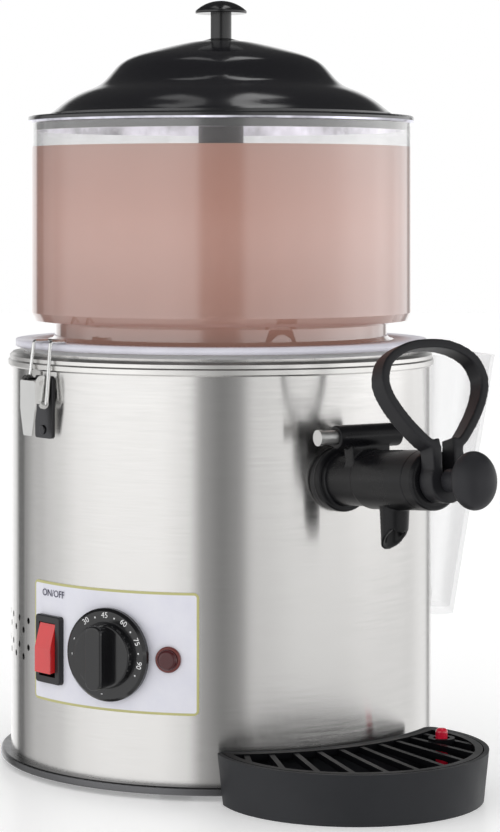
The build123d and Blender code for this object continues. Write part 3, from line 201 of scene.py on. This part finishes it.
def make_streaks():
    """Fine brushing that runs round an upright axis, as a mask."""
    tree, given, result = group(
        "brushed streaks", {"Across": 900.0, "Along": 9.0, "Low": 0.0, "High": 1.0}, ["Mask"])
    x, y, z = spot_on(tree)
    turn = math_node(tree, "ARCTAN2", y, x)
    where = put(tree, "ShaderNodeCombineXYZ")
    join(tree, math_node(tree, "MULTIPLY", turn, given.outputs["Along"]), where.inputs["X"])
    join(tree, math_node(tree, "MULTIPLY", z, given.outputs["Across"]), where.inputs["Z"])
    noise = put(tree, "ShaderNodeTexNoise", in_Scale=1.0, in_Detail=5.0, in_Roughness=0.7)
    join(tree, where.outputs[0], noise.inputs["Vector"])
    mask = spread(tree, noise.outputs["Fac"], noise_low, noise_high,
                  given.outputs["Low"], given.outputs["High"])
    join(tree, mask, result.inputs["Mask"])
    return tree


def make_cloud():
    """Slow variation over a surface, between two values."""
    tree, given, result = group(
        "slow variation", {"Scale": 20.0, "Detail": 4.0, "Low": 0.0, "High": 1.0}, ["Value"])
    place = put(tree, "ShaderNodeTexCoord")
    noise = put(tree, "ShaderNodeTexNoise", in_Roughness=0.6)
    join(tree, place.outputs["Object"], noise.inputs["Vector"])
    join(tree, given.outputs["Scale"], noise.inputs["Scale"])
    join(tree, given.outputs["Detail"], noise.inputs["Detail"])
    value = spread(tree, noise.outputs["Fac"], noise_low, noise_high,
                   given.outputs["Low"], given.outputs["High"])
    join(tree, value, result.inputs["Value"])
    return tree


streaks = make_streaks()
cloud = make_cloud()


def vary_roughness(tree, shader, low, high):
    source = place_group(tree, cloud, Scale=30.0, Low=low, High=high)
    join(tree, source, shader.inputs["Roughness"])


def vary_colour(tree, shader, first, second, scale=40.0):
    source = place_group(tree, cloud, Scale=scale, Low=0.0, High=1.0)
    join(tree, blend_colours(tree, source, first, second), shader.inputs["Base Color"])


def bump_from_cloud(tree, shader, scale, depth_mm):
    source = place_group(tree, cloud, Scale=scale, Low=0.0, High=1.0)
    bump = put(tree, "ShaderNodeBump", in_Strength=0.4, in_Distance=depth_mm * mm)
    join(tree, source, bump.inputs["Height"])
    join(tree, bump.outputs[0], shader.inputs["Normal"])


# ---------------------------------------------------------------- materials

def brushed_steel():
    """Steel whose grain runs round the body, so a reflection is drawn out up and down."""
    material, tree, shader = principled("brushed steel", Metallic=1.0, Anisotropic=0.85,
                                        Anisotropic_Rotation=0.25)
    mask = place_group(tree, streaks, Across=1400.0, Along=5.0, Low=0.0, High=1.0)
    rough = place_group(tree, streaks, Across=500.0, Along=3.0, Low=0.16, High=0.25)
    colour = blend_colours(tree, mask, (0.64, 0.63, 0.615, 1), (0.675, 0.665, 0.655, 1))
    bump = put(tree, "ShaderNodeBump", in_Strength=0.02, in_Distance=0.01 * mm)
    tangent = put(tree, "ShaderNodeTangent", direction_type="RADIAL", axis="Z")
    join(tree, mask, bump.inputs["Height"])
    join(tree, colour, shader.inputs["Base Color"])
    join(tree, rough, shader.inputs["Roughness"])
    join(tree, bump.outputs[0], shader.inputs["Normal"])
    join(tree, tangent.outputs[0], shader.inputs["Tangent"])
    return material


def plain_metal(name, colour, low, high):
    material, tree, shader = principled(name, Metallic=1.0)
    vary_roughness(tree, shader, low, high)
    vary_colour(tree, shader, colour, scaled(colour, 0.92))
    return material


def plastic(name, colour, low, high, grain=None, coat=0.0, shine=0.5):
    """A moulding; grain is its scale and its depth in mm, and the coat is its polished skin."""
    material, tree, shader = principled(name, Coat_Weight=coat, Coat_Roughness=0.06,
                                        Specular_IOR_Level=shine)
    vary_roughness(tree, shader, low, high)
    vary_colour(tree, shader, colour, scaled(colour, 1.12))
    if grain:
        bump_from_cloud(tree, shader, *grain)
    return material


def faint_plastic():
    """Thin clear plastic that is seen by its edges and its shine."""
    material, tree, shader = principled("clear funnel plastic", Base_Color=(0.86, 0.86, 0.88, 1),
                                        IOR=1.45)
    vary_roughness(tree, shader, 0.05, 0.10)
    edge = put(tree, "ShaderNodeLayerWeight", in_Blend=0.35)
    alpha = spread(tree, edge.outputs["Facing"], first=0.05, last=0.34)
    join(tree, alpha, shader.inputs["Alpha"])
    return material


def clear_bowl():
    """Clear plastic, matt below the flange's top where the mould grips it."""
    material, tree, shader = principled("clear bowl plastic", IOR=1.49, Transmission_Weight=1.0,
                                        Coat_Weight=1.0, Coat_Roughness=0.03)
    z = spot_on(tree)[2]
    rough = spread(tree, z, flange_top_z, flange_top_z + 0.5 * mm, 0.35, 0.01)
    join(tree, rough, shader.inputs["Roughness"])
    return material


def steamed_lid_with_painted_glow():
    """Glossy black plastic, hazed with steam inside; its underside also has a painted glow and painted
    bright patches, painted light and painted reflections that lift the shade under the lid.
    """
    material, tree, shader = principled("glossy black lid plastic", Coat_Weight=0.3,
                                        Coat_Roughness=0.05, Emission_Strength=1.0)
    shape = put(tree, "ShaderNodeNewGeometry")
    facing_x, facing_y, facing_z = split(tree, shape.outputs["Normal"])
    x, y, _ = spot_on(tree)
    under = spread(tree, facing_z, -0.02, -0.18, smooth=True)
    outwards = math_node(tree, "ADD", math_node(tree, "MULTIPLY", facing_x, x),
                         math_node(tree, "MULTIPLY", facing_y, y))
    inner = spread(tree, outwards, -4 * mm, -20 * mm, smooth=True)
    # painted reflections: bright patches in the underside's haze, painted where reflected light shows
    painted_bright_patches = place_group(tree, cloud, Scale=26.0, Low=0.10, High=1.0)
    steam_and_painted_glow = math_node(tree, "MULTIPLY", math_node(tree, "MAXIMUM", under, inner), painted_bright_patches)
    colour = blend_colours(tree, steam_and_painted_glow, (0.012, 0.012, 0.014, 1), (0.42, 0.41, 0.47, 1))
    # painted light: the underside glows to lift the shade under the lid
    painted_glow = blend_colours(tree, steam_and_painted_glow, (0, 0, 0, 1), (0.95, 0.94, 1.05, 1))
    join(tree, colour, shader.inputs["Base Color"])
    join(tree, painted_glow, shader.inputs["Emission Color"])
    join(tree, spread(tree, steam_and_painted_glow, first=0.15, last=0.45), shader.inputs["Roughness"])
    return material


def printed_plate():
    """The pale control plate with the narrow coloured line printed round its edge."""
    material, tree, shader = principled("printed panel", Coat_Weight=0.25, Coat_Roughness=0.15)
    vary_roughness(tree, shader, 0.30, 0.42)
    x, y, z = spot_on(tree)
    turn = math_node(tree, "ARCTAN2", x, math_node(tree, "MULTIPLY", y, -1.0))
    turn = math_node(tree, "SUBTRACT", turn, math.radians(panel_angle))
    along = math_node(tree, "MULTIPLY", turn, body_r)
    up = math_node(tree, "SUBTRACT", z, panel_z)
    edges = []
    for reach, half in ((along, panel_w / 2), (up, panel_h / 2)):
        size = math_node(tree, "ABSOLUTE", reach)
        edges.append(math_node(tree, "SUBTRACT", size, half - panel_round))
    flat = math_node(tree, "MINIMUM", math_node(tree, "MAXIMUM", *edges), 0.0)
    outer = [math_node(tree, "POWER", math_node(tree, "MAXIMUM", edge, 0.0), 2.0) for edge in edges]
    corner = math_node(tree, "SQRT", math_node(tree, "ADD", *outer))
    inside = math_node(tree, "ADD", flat, corner)
    line_in = panel_round - panel_line
    line = spread(tree, inside, line_in - panel_line_edge, line_in, smooth=True)
    grain = place_group(tree, cloud, Scale=55.0, Low=0.0, High=1.0)
    paper = blend_colours(tree, grain, (0.74, 0.74, 0.82, 1), (0.80, 0.80, 0.86, 1))
    colour = blend_colours(tree, line, paper, (0.50, 0.48, 0.20, 1))
    join(tree, colour, shader.inputs["Base Color"])
    return material


def chocolate():
    """Hot chocolate with a painted glow that grows brighter towards its top: painted light that lifts
    the shade under the lid.
    """
    material, tree, shader = principled("hot chocolate", Roughness=0.35, Emission_Strength=1.0)
    vary_colour(tree, shader, (0.51, 0.295, 0.24, 1), (0.535, 0.315, 0.26, 1), 25.0)
    # painted light: the drink's glow rises towards its top, where the lid's shade falls
    depth = spread(tree, spot_on(tree)[2], drink_top_z - 75 * mm, drink_top_z)
    painted_top_glow = blend_colours(tree, depth, (0.175, 0.095, 0.076, 1), (0.255, 0.140, 0.112, 1))
    join(tree, painted_top_glow, shader.inputs["Emission Color"])
    return material


materials = {
    "brushed": brushed_steel(),
    "steel": plain_metal("satin steel", (0.62, 0.61, 0.60, 1), 0.22, 0.34),
    "bright": plain_metal("bright steel", (0.78, 0.77, 0.76, 1), 0.14, 0.24),
    "zinc": plain_metal("latch steel", (0.80, 0.80, 0.79, 1), 0.16, 0.28),
    # painted shade: the latch plates and rivets are steel, painted near black for their shadow and a
    # painted dark reflection
    "shade_painted_zinc": plain_metal("latch steel painted dark for shade", (0.085, 0.085, 0.09, 1), 0.24, 0.34),
    # painted shade: the base plate is steel, painted near black for the shadow in the gap under the body
    # and a painted dark reflection on its rim
    "shade_painted_rim": plain_metal("base steel painted dark for shade", (0.13, 0.13, 0.135, 1), 0.22, 0.32),
    "pin": plain_metal("satin pin steel", (0.70, 0.70, 0.69, 1), 0.40, 0.52),
    "ring": plain_metal("rolled ring steel", (0.76, 0.75, 0.73, 1), 0.30, 0.40),
    "copper": plain_metal("heater copper", (0.72, 0.42, 0.28, 1), 0.25, 0.4),
    "brass": plain_metal("turned brass", (0.76, 0.58, 0.28, 1), 0.2, 0.32),
    "cast": plain_metal("cast zinc", (0.45, 0.46, 0.47, 1), 0.4, 0.55),
    "lid": steamed_lid_with_painted_glow(),
    "black_gloss": plastic("glossy black plastic", (0.008, 0.008, 0.009, 1), 0.14, 0.20, coat=0.2),
    "black_tap": plastic("moulded black tap plastic", (0.006, 0.006, 0.007, 1), 0.24, 0.34,
                         grain=(900.0, 0.01), shine=0.24),
    "black_satin": plastic("satin black plastic", (0.014, 0.014, 0.016, 1), 0.36, 0.48,
                           grain=(900.0, 0.02)),
    "handle": plastic("satin handle plastic", (0.012, 0.012, 0.014, 1), 0.34, 0.44,
                      grain=(1100.0, 0.015), shine=0.3),
    "knob": plastic("soft grey knob plastic", (0.018, 0.018, 0.021, 1), 0.42, 0.52,
                    grain=(1300.0, 0.02), shine=0.3),
    "grey_satin": plastic("satin grey tray plastic", (0.016, 0.017, 0.020, 1), 0.46, 0.58,
                          grain=(1000.0, 0.03), shine=0.3),
    "grid": plastic("glossy grid plastic", (0.004, 0.004, 0.005, 1), 0.36, 0.44, shine=0.09),
    "clear": clear_bowl(),
    "clear_soft": faint_plastic(),
    "frost": plastic("frosted flange plastic", (0.66, 0.65, 0.72, 1), 0.30, 0.45),
    "silicone": plastic("silicone seal", (0.82, 0.82, 0.84, 1), 0.4, 0.55),
    "white": plastic("white moulded plastic", (0.78, 0.78, 0.75, 1), 0.4, 0.5),
    "red": plastic("red switch plastic", (0.62, 0.020, 0.022, 1), 0.10, 0.18, coat=1.0),
    "red_dark": plastic("dark red lamp plastic", (0.130, 0.014, 0.010, 1), 0.22, 0.30, coat=0.25),
    "red_deep": plastic("deep red lamp lens", (0.060, 0.006, 0.008, 1), 0.22, 0.30, coat=0.15),
    "red_float": plastic("red float plastic", (0.62, 0.008, 0.035, 1), 0.2, 0.3, coat=0.5),
    "plate": printed_plate(),
    "print_white": plastic("white print", (0.82, 0.82, 0.82, 1), 0.4, 0.5),
    "print_dark": plastic("dark print", (0.06, 0.06, 0.10, 1), 0.4, 0.5),
}

looks = {
    "brushed": ["body_shell"],
    "shade_painted_rim": ["base_plate"],
    "ring": ["top_ring"],
    "pin": ["tap_lock_pin"],
    "steel": ["inner_pot", "water_tank", "safety_cutout", "motor_bracket", "drive_shaft", "tap_spring"],
    "bright": ["foot_screws", "bracket_screws", "lid_knob_screw", "latch_pins", "tap_lug"],
    "copper": ["heating_element", "thermostat_probe"],
    "brass": ["level_probe", "thermostat_stem"],
    "cast": ["gearbox"],
    "zinc": ["latch_lever_left", "latch_bail_left", "latch_lever_right", "latch_bail_right"],
    "shade_painted_zinc": ["latch_plate_left", "latch_plate_right", "latch_rivets"],
    "lid": ["lid"],
    "black_gloss": ["lid_knob", "thermostat_knob"],
    "black_tap": ["tap_body", "tap_cap"],
    "handle": ["tap_handle"],
    "knob": ["tap_knob"],
    "black_satin": ["switch_frame", "feet", "motor", "cable_gland", "gland_nut", "tap_gasket",
                    "tap_orings", "filler_grommet", "stirrer"],
    "grey_satin": ["drip_tray"],
    "grid": ["drip_grid"],
    "clear": ["bowl"],
    "clear_soft": ["water_funnel", "filler_pipe"],
    "silicone": ["bowl_gasket"],
    "white": ["shaft_bush", "terminal_block", "tap_piston", "thermostat_body"],
    "red": ["rocker"],
    "red_dark": ["lamp_bezel"],
    "red_deep": ["lamp_lens"],
    "plate": ["control_plate"],
    "red_float": ["drip_float"],
}
for look, names in looks.items():
    for name in names:
        nodes[name].data.materials.clear()
        nodes[name].data.materials.append(materials[look])
left_plain = set(nodes) - {name for names in looks.values() for name in names}
assert not left_plain, left_plain

# how round the edges of the mouldings and pressings are, in mm
edge_rounds = {"tap_handle": 1.4, "drip_tray": 0.8, "drip_grid": 0.5, "latch_lever_left": 0.25,
               "latch_lever_right": 0.25, "tap_body": 0.5}
sharp_from = 38              # the least angle, in degrees, that counts as an edge
for name, size in edge_rounds.items():
    rounding = nodes[name].modifiers.new("round edges", "BEVEL")
    rounding.width = size * mm
    rounding.segments = 3
    rounding.limit_method = "ANGLE"
    rounding.angle_limit = math.radians(sharp_from)
    rounding.use_clamp_overlap = True


# ---------------------------------------------------------------- pieces

def set_out(name, data):
    """A new object in the scene."""
    piece = bpy.data.objects.new(name, data)
    bpy.context.scene.collection.objects.link(piece)
    return piece


def lathe(name, outline, steps=160):
    """A smooth turned solid from (radius, height) points, closed on the axis or into a ring."""
    mesh = bmesh.new()
    rings = []
    for radius, height in outline:
        if radius < 1e-6:
            rings.append([mesh.verts.new((0, 0, height))])
            continue
        turns = [2 * math.pi * n / steps for n in range(steps)]
        rings.append([mesh.verts.new((radius * math.cos(turn), radius * math.sin(turn), height))
                      for turn in turns])
    for low, high in zip(rings, rings[1:]):
        if len(low) == 1 and len(high) == 1:
            continue
        for n in range(steps):
            m = (n + 1) % steps
            if len(low) == 1:
                mesh.faces.new((low[0], high[m], high[n]))
            elif len(high) == 1:
                mesh.faces.new((low[n], low[m], high[0]))
            else:
                mesh.faces.new((low[n], low[m], high[m], high[n]))
    bmesh.ops.recalc_face_normals(mesh, faces=mesh.faces)
    data = bpy.data.meshes.new(name)
    mesh.to_mesh(data)
    mesh.free()
    for face in data.polygons:
        face.use_smooth = True
    return set_out(name, data)


def drink():
    """The hot chocolate, from the pot's rim up to its level in the bowl, wet against the wall."""
    wet = 0.3 * mm
    wall = bowl_r - bowl_wall + wet
    neck = neck_r + wet
    neck_low_z, neck_top_z, wall_low_z = 254.8 * mm, 270.0 * mm, 276.9 * mm
    creep = 0.8 * mm             # how far the drink climbs the wall
    outline = [(0, pot_low_z), (pot_r, pot_low_z), (pot_r, flange_low_z), (neck, neck_low_z),
               (neck, neck_top_z), (neck + 2.1 * mm, neck_top_z + 2.1 * mm), (wall, wall_low_z),
               (wall, drink_top_z + creep), (wall - 1.2 * mm, drink_top_z), (0, drink_top_z)]
    piece = lathe("drink", outline)
    piece.data.materials.append(chocolate())
    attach(piece, "root")


def frosted_flange():
    """The matt skin on the bowl's flange, over its top and down its edge."""
    skin = 0.12 * mm
    edge = flange_r + skin
    top = flange_top_z + skin
    outline = [(flange_in_r, flange_top_z), (flange_r, flange_top_z), (flange_r, flange_low_z),
               (edge, flange_low_z), (edge, top), (flange_in_r, top), (flange_in_r, flange_top_z)]
    piece = lathe("frosted_flange", outline, 200)
    piece.data.materials.append(materials["frost"])
    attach(piece, "root")


def on_shell(angle, radius, height):
    """The frame of a flat mark on the body: X along the shell, Y up and Z out."""
    turn = math.radians(angle)
    along = Vector((math.cos(turn), math.sin(turn), 0))
    up = Vector((0, 0, 1))
    out = Vector((math.sin(turn), -math.cos(turn), 0))
    axes = Matrix((along, up, out)).transposed().to_4x4()
    return Matrix.Translation(out * radius + up * height) @ axes


def mark(name, words, size, where, look, body):
    """Raised printed characters as a mesh."""
    letters = bpy.data.curves.new(name, "FONT")
    letters.body = words
    letters.size = size
    letters.align_x = "CENTER"
    letters.align_y = "CENTER"
    letters.extrude = print_t
    letters.resolution_u = 4
    draft = bpy.data.objects.new(name, letters)
    mesh = bpy.data.meshes.new_from_object(draft)
    bpy.data.objects.remove(draft)
    mesh.transform(where)
    mesh.materials.append(materials[look])
    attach(set_out(name, mesh), body)


def dial_marks():
    """Numbers and dots on the dial's skirt, their tops outwards."""
    face = on_shell(dial_angle, dial_face_r, dial_z)
    figure_size = 4.6 * mm
    ring, dot_ring = 23.0 * mm, 22.4 * mm
    first, step = -35.0, 33.8    # degrees from the dial's top, clockwise
    dot_outline = [(0, 0), (0.55 * mm, 0), (0.55 * mm, 0.06 * mm), (0.4 * mm, 0.12 * mm), (0, 0.12 * mm)]

    def spot(angle, reach):
        turn = Matrix.Rotation(math.radians(-angle), 4, "Z")
        return face @ turn @ Matrix.Translation((0, reach, 0))

    for n, number in enumerate(("30", "45", "60", "75", "90")):
        where = spot(first + n * step, ring)
        mark(f"dial_number_{number}", number, figure_size, where, "print_white", "dial")
        dot = lathe(f"dial_dot_{n + 1}", dot_outline, 20)
        dot.data.transform(spot(first + (n + 0.5) * step, dot_ring))
        dot.data.materials.append(materials["print_white"])
        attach(dot, "dial")
    for n, angle in enumerate((-69.0, -92.0, 186.0)):
        mark(f"dial_tick_{n + 1}", "-", figure_size, spot(angle, ring), "print_white", "dial")


def switch_marks():
    """The generic words over the switch."""
    where = on_shell(switch_angle + 1.0, panel_r + print_lift, words_z)
    mark("switch_words", "ON/OFF", 5.8 * mm, where, "print_dark", "root")


def smooth_line(path, steps):
    """A curve through every point of a path, as that many steps from each point to the next."""
    line = []
    last = len(path) - 1
    for n in range(last):
        before, start, end, after = (path[i] for i in (max(n - 1, 0), n, n + 1, min(n + 2, last)))
        for step in range(steps):
            t = step / steps
            line.append(0.5 * (2 * start + (end - before) * t
                               + (2 * before - 5 * start + 4 * end - after) * t ** 2
                               + (3 * start - before - 3 * end + after) * t ** 3))
    line.append(path[last])
    return line


# the handle's loop, in mm: half of its outline, across and up from its foot
loop_half = [(4.2, 0.5), (12.0, 1.0), (23.7, 13.0), (31.6, 24.4), (35.4, 34.0), (35.2, 42.0),
             (30.6, 51.0), (20.5, 57.6), (8.0, 60.8)]
loop_lean = 12               # degrees back from square to the tap
loop_up, loop_out = 28, 4.5  # from the handle's toe to the loop's foot, in mm
loop_band = 5.0
loop_half_depth = 6.0
loop_cut_up = 1.5            # how far above the foot the fork is cut


def handle_loop():
    """The handle's egg-shaped loop as a closed band with an open foot, and where the loop starts."""
    out = Vector(joints["piston_slide"]["axis"]).normalized()
    across = Vector((1, 0, 0))
    up = out.cross(across)
    lean = math.radians(loop_lean)
    rise = up * math.cos(lean) - out * math.sin(lean)
    depth = up * math.sin(lean) + out * math.cos(lean)
    foot = Vector(joints["tap_pull"]["pos_m"]) + up * loop_up * mm + out * loop_out * mm
    path = [Vector(spot) for spot in loop_half] + [Vector((-x, y)) for x, y in reversed(loop_half)]
    line = smooth_line(path, 8)
    mesh = bmesh.new()
    rings = []
    for n, spot in enumerate(line):
        along = (line[min(n + 1, len(line) - 1)] - line[max(n - 1, 0)]).normalized()
        inner = spot + Vector((-along.y, along.x)) * loop_band
        corners = ((spot, -loop_half_depth), (spot, loop_half_depth),
                   (inner, loop_half_depth), (inner, -loop_half_depth))
        rings.append([mesh.verts.new(foot + (across * flat.x + rise * flat.y + depth * side) * mm)
                      for flat, side in corners])
    for first, second in zip(rings, rings[1:]):
        for n in range(4):
            m = (n + 1) % 4
            mesh.faces.new((first[n], first[m], second[m], second[n]))
    mesh.faces.new(rings[0])
    mesh.faces.new(list(reversed(rings[-1])))
    bmesh.ops.recalc_face_normals(mesh, faces=mesh.faces)
    loop = bpy.data.meshes.new("loop")
    mesh.to_mesh(loop)
    mesh.free()
    return loop, foot, rise


def with_new_loop(shape):
    """The handle's fork, cut from the part's own shape, with the loop put on it."""
    loop, foot, rise = handle_loop()
    mesh = bmesh.new()
    mesh.from_mesh(shape)
    bmesh.ops.bisect_plane(mesh, geom=mesh.verts[:] + mesh.edges[:] + mesh.faces[:],
                           plane_co=foot + rise * loop_cut_up * mm, plane_no=rise, clear_outer=True)
    bmesh.ops.holes_fill(mesh, edges=[edge for edge in mesh.edges if edge.is_boundary])
    mesh.from_mesh(loop)
    mesh.to_mesh(shape)
    mesh.free()


def moulded(name, body, passes, reshape=None):
    """A moulding whose edges flow into each other: the part's own shape, evened out."""
    shape = nodes[name].data.copy()
    if reshape:
        reshape(shape)
    draft = set_out(f"{name}_moulding", shape)
    even = draft.modifiers.new("even skin", "REMESH")
    even.mode = "VOXEL"
    even.voxel_size = 0.7 * mm
    even.use_smooth_shade = True
    soft = draft.modifiers.new("soft edges", "SMOOTH")
    soft.factor = 0.5
    soft.iterations = passes
    seen = bpy.context.evaluated_depsgraph_get()
    mesh = bpy.data.meshes.new_from_object(draft.evaluated_get(seen))
    draft.modifiers.clear()
    draft.data = mesh
    for face in mesh.polygons:
        face.use_smooth = True
    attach(draft, body)
    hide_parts(name)


moulded("tap_handle", "tap_handle", 6, with_new_loop)
moulded("tap_body", "root", 3)
drink()
frosted_flange()
dial_marks()
switch_marks()


# ---------------------------------------------------------------- stage

# what the machine mirrors, as (degrees round it from its front, brightness)
wall_greys = [
    (-180, 0.85), (-176, 0.17), (-168, 0.17), (-162, 0.46), (-151, 0.68), (-131, 0.76), (-112, 1.05),
    (-96, 1.12), (-66, 1.10), (-50, 0.94), (-41, 0.42), (-31, 0.27), (-23, 0.36), (-14, 0.72),
    (14, 0.84), (40, 0.80), (60, 0.80), (88, 0.86), (110, 1.05), (118, 1.0), (122, 0.4), (127, 0.4),
    (131, 1.05), (165, 1.2), (180, 0.95)]
screen_greys = [
    (-180, 0.0), (-150, 0.0), (-128, 0.35), (-60, 0.45), (-48, 0.4), (-40, 0.0), (-23, 0.0),
    (-12, 0.35), (14, 0.5), (31, 0.65), (56, 0.95), (74, 0.8), (96, 0.3), (108, 0.1), (125, 0.0),
    (180, 0.0)]
lamp_greys = [(-180, 0.40), (-174, 0.0), (114, 0.0), (119, 1.0), (135, 1.0), (140, 0.0),
              (163, 0.0), (168, 0.40), (180, 0.40)]
rear_share = [(-180, 1), (-150, 0.8), (-120, 0), (60, 0), (95, 0.8), (125, 1), (180, 1)]


def ramp(tree, source, stops):
    """A smooth ramp of greys over degrees round the machine from its front, -180 to 180."""
    node = put(tree, "ShaderNodeValToRGB")
    node.color_ramp.interpolation = "EASE"
    elements = node.color_ramp.elements
    while len(elements) > 1:
        elements.remove(elements[-1])
    for n, (angle, value) in enumerate(stops):
        place = (angle + 180.0) / 360.0
        element = elements[0] if n == 0 else elements.new(place)
        element.position = place
        element.color = grey(value)
    join(tree, source, node.inputs[0])
    return node.outputs[0]


def pale_floor():
    material, _, _ = principled("pale floor", Base_Color=grey(0.90), Roughness=0.35,
                                Emission_Color=grey(1.0), Emission_Strength=0.22)
    floor = lathe("floor", [(0, 0), (floor_r, 0)], 96)
    floor.data.materials.append(material)
    floor.visible_glossy = False


def studio():
    """A white room; what shines in the machine is soft boxes with dark gaps between them."""
    world = bpy.data.worlds.new("studio")
    world.use_nodes = True
    bpy.context.scene.world = world
    tree = world.node_tree
    sky = tree.nodes["Background"]
    x, y, z = split(tree, put(tree, "ShaderNodeTexCoord").outputs["Generated"])
    turn = math_node(tree, "ARCTAN2", x, math_node(tree, "MULTIPLY", y, -1.0))
    round_trip = math_node(tree, "ADD", math_node(tree, "DIVIDE", turn, 2 * math.pi), 0.5)

    # the screen, a narrow band at the bowl's height, in front of the walls
    level = math_node(tree, "ABSOLUTE", math_node(tree, "ADD", z, 0.006))
    band = spread(tree, level, 0.042, 0.062, 2.1, 0.0, smooth=True)
    screen = math_node(tree, "MULTIPLY", ramp(tree, round_trip, screen_greys), band)
    sides = math_node(tree, "ADD", ramp(tree, round_trip, wall_greys), screen)

    # the dark ceiling, which comes down further at the rear, with its lamps
    behind = ramp(tree, round_trip, rear_share)
    ceiling = spread(tree, z, spread(tree, behind, first=0.48, last=0.16),
                     spread(tree, behind, first=0.70, last=0.34), smooth=True)
    window = math_node(tree, "MULTIPLY", spread(tree, z, 0.84, 0.90, smooth=True),
                       spread(tree, z, 0.995, 0.999, 1.0, 0.0, smooth=True))
    lamps = math_node(tree, "MULTIPLY", ramp(tree, round_trip, lamp_greys), window)
    top = math_node(tree, "ADD", math_node(tree, "MULTIPLY", lamps, 2.0), 0.05)
    room = blend_values(tree, ceiling, sides, top)

    # only mirrored rays see the room; all others see plain white
    rays = put(tree, "ShaderNodeLightPath")
    straight = math_node(tree, "SUBTRACT", 1.0, rays.outputs["Is Transmission Ray"])
    mirrored = math_node(tree, "MULTIPLY", rays.outputs["Is Glossy Ray"], straight)
    join(tree, blend_values(tree, mirrored, 1.0, room), sky.inputs["Color"])


def camera():
    turn = math.radians(camera_turn)
    lens = bpy.data.cameras.new("camera")
    lens.sensor_fit = "VERTICAL"
    lens.sensor_height = sensor_mm
    lens.lens = focal_px * sensor_mm / frame_px[1]
    lens.shift_x = (frame_px[0] / 2 - eye_px[0]) / frame_px[1]
    lens.shift_y = (eye_px[1] - frame_px[1] / 2) / frame_px[1]
    eye = set_out("camera", lens)
    eye.location = (camera_reach * math.sin(turn), -camera_reach * math.cos(turn), camera_height)
    eye.rotation_euler = (math.radians(90.0), 0.0, turn)
    bpy.context.scene.camera = eye


pale_floor()
studio()
camera()
bpy.context.scene.view_settings.view_transform = "Standard"
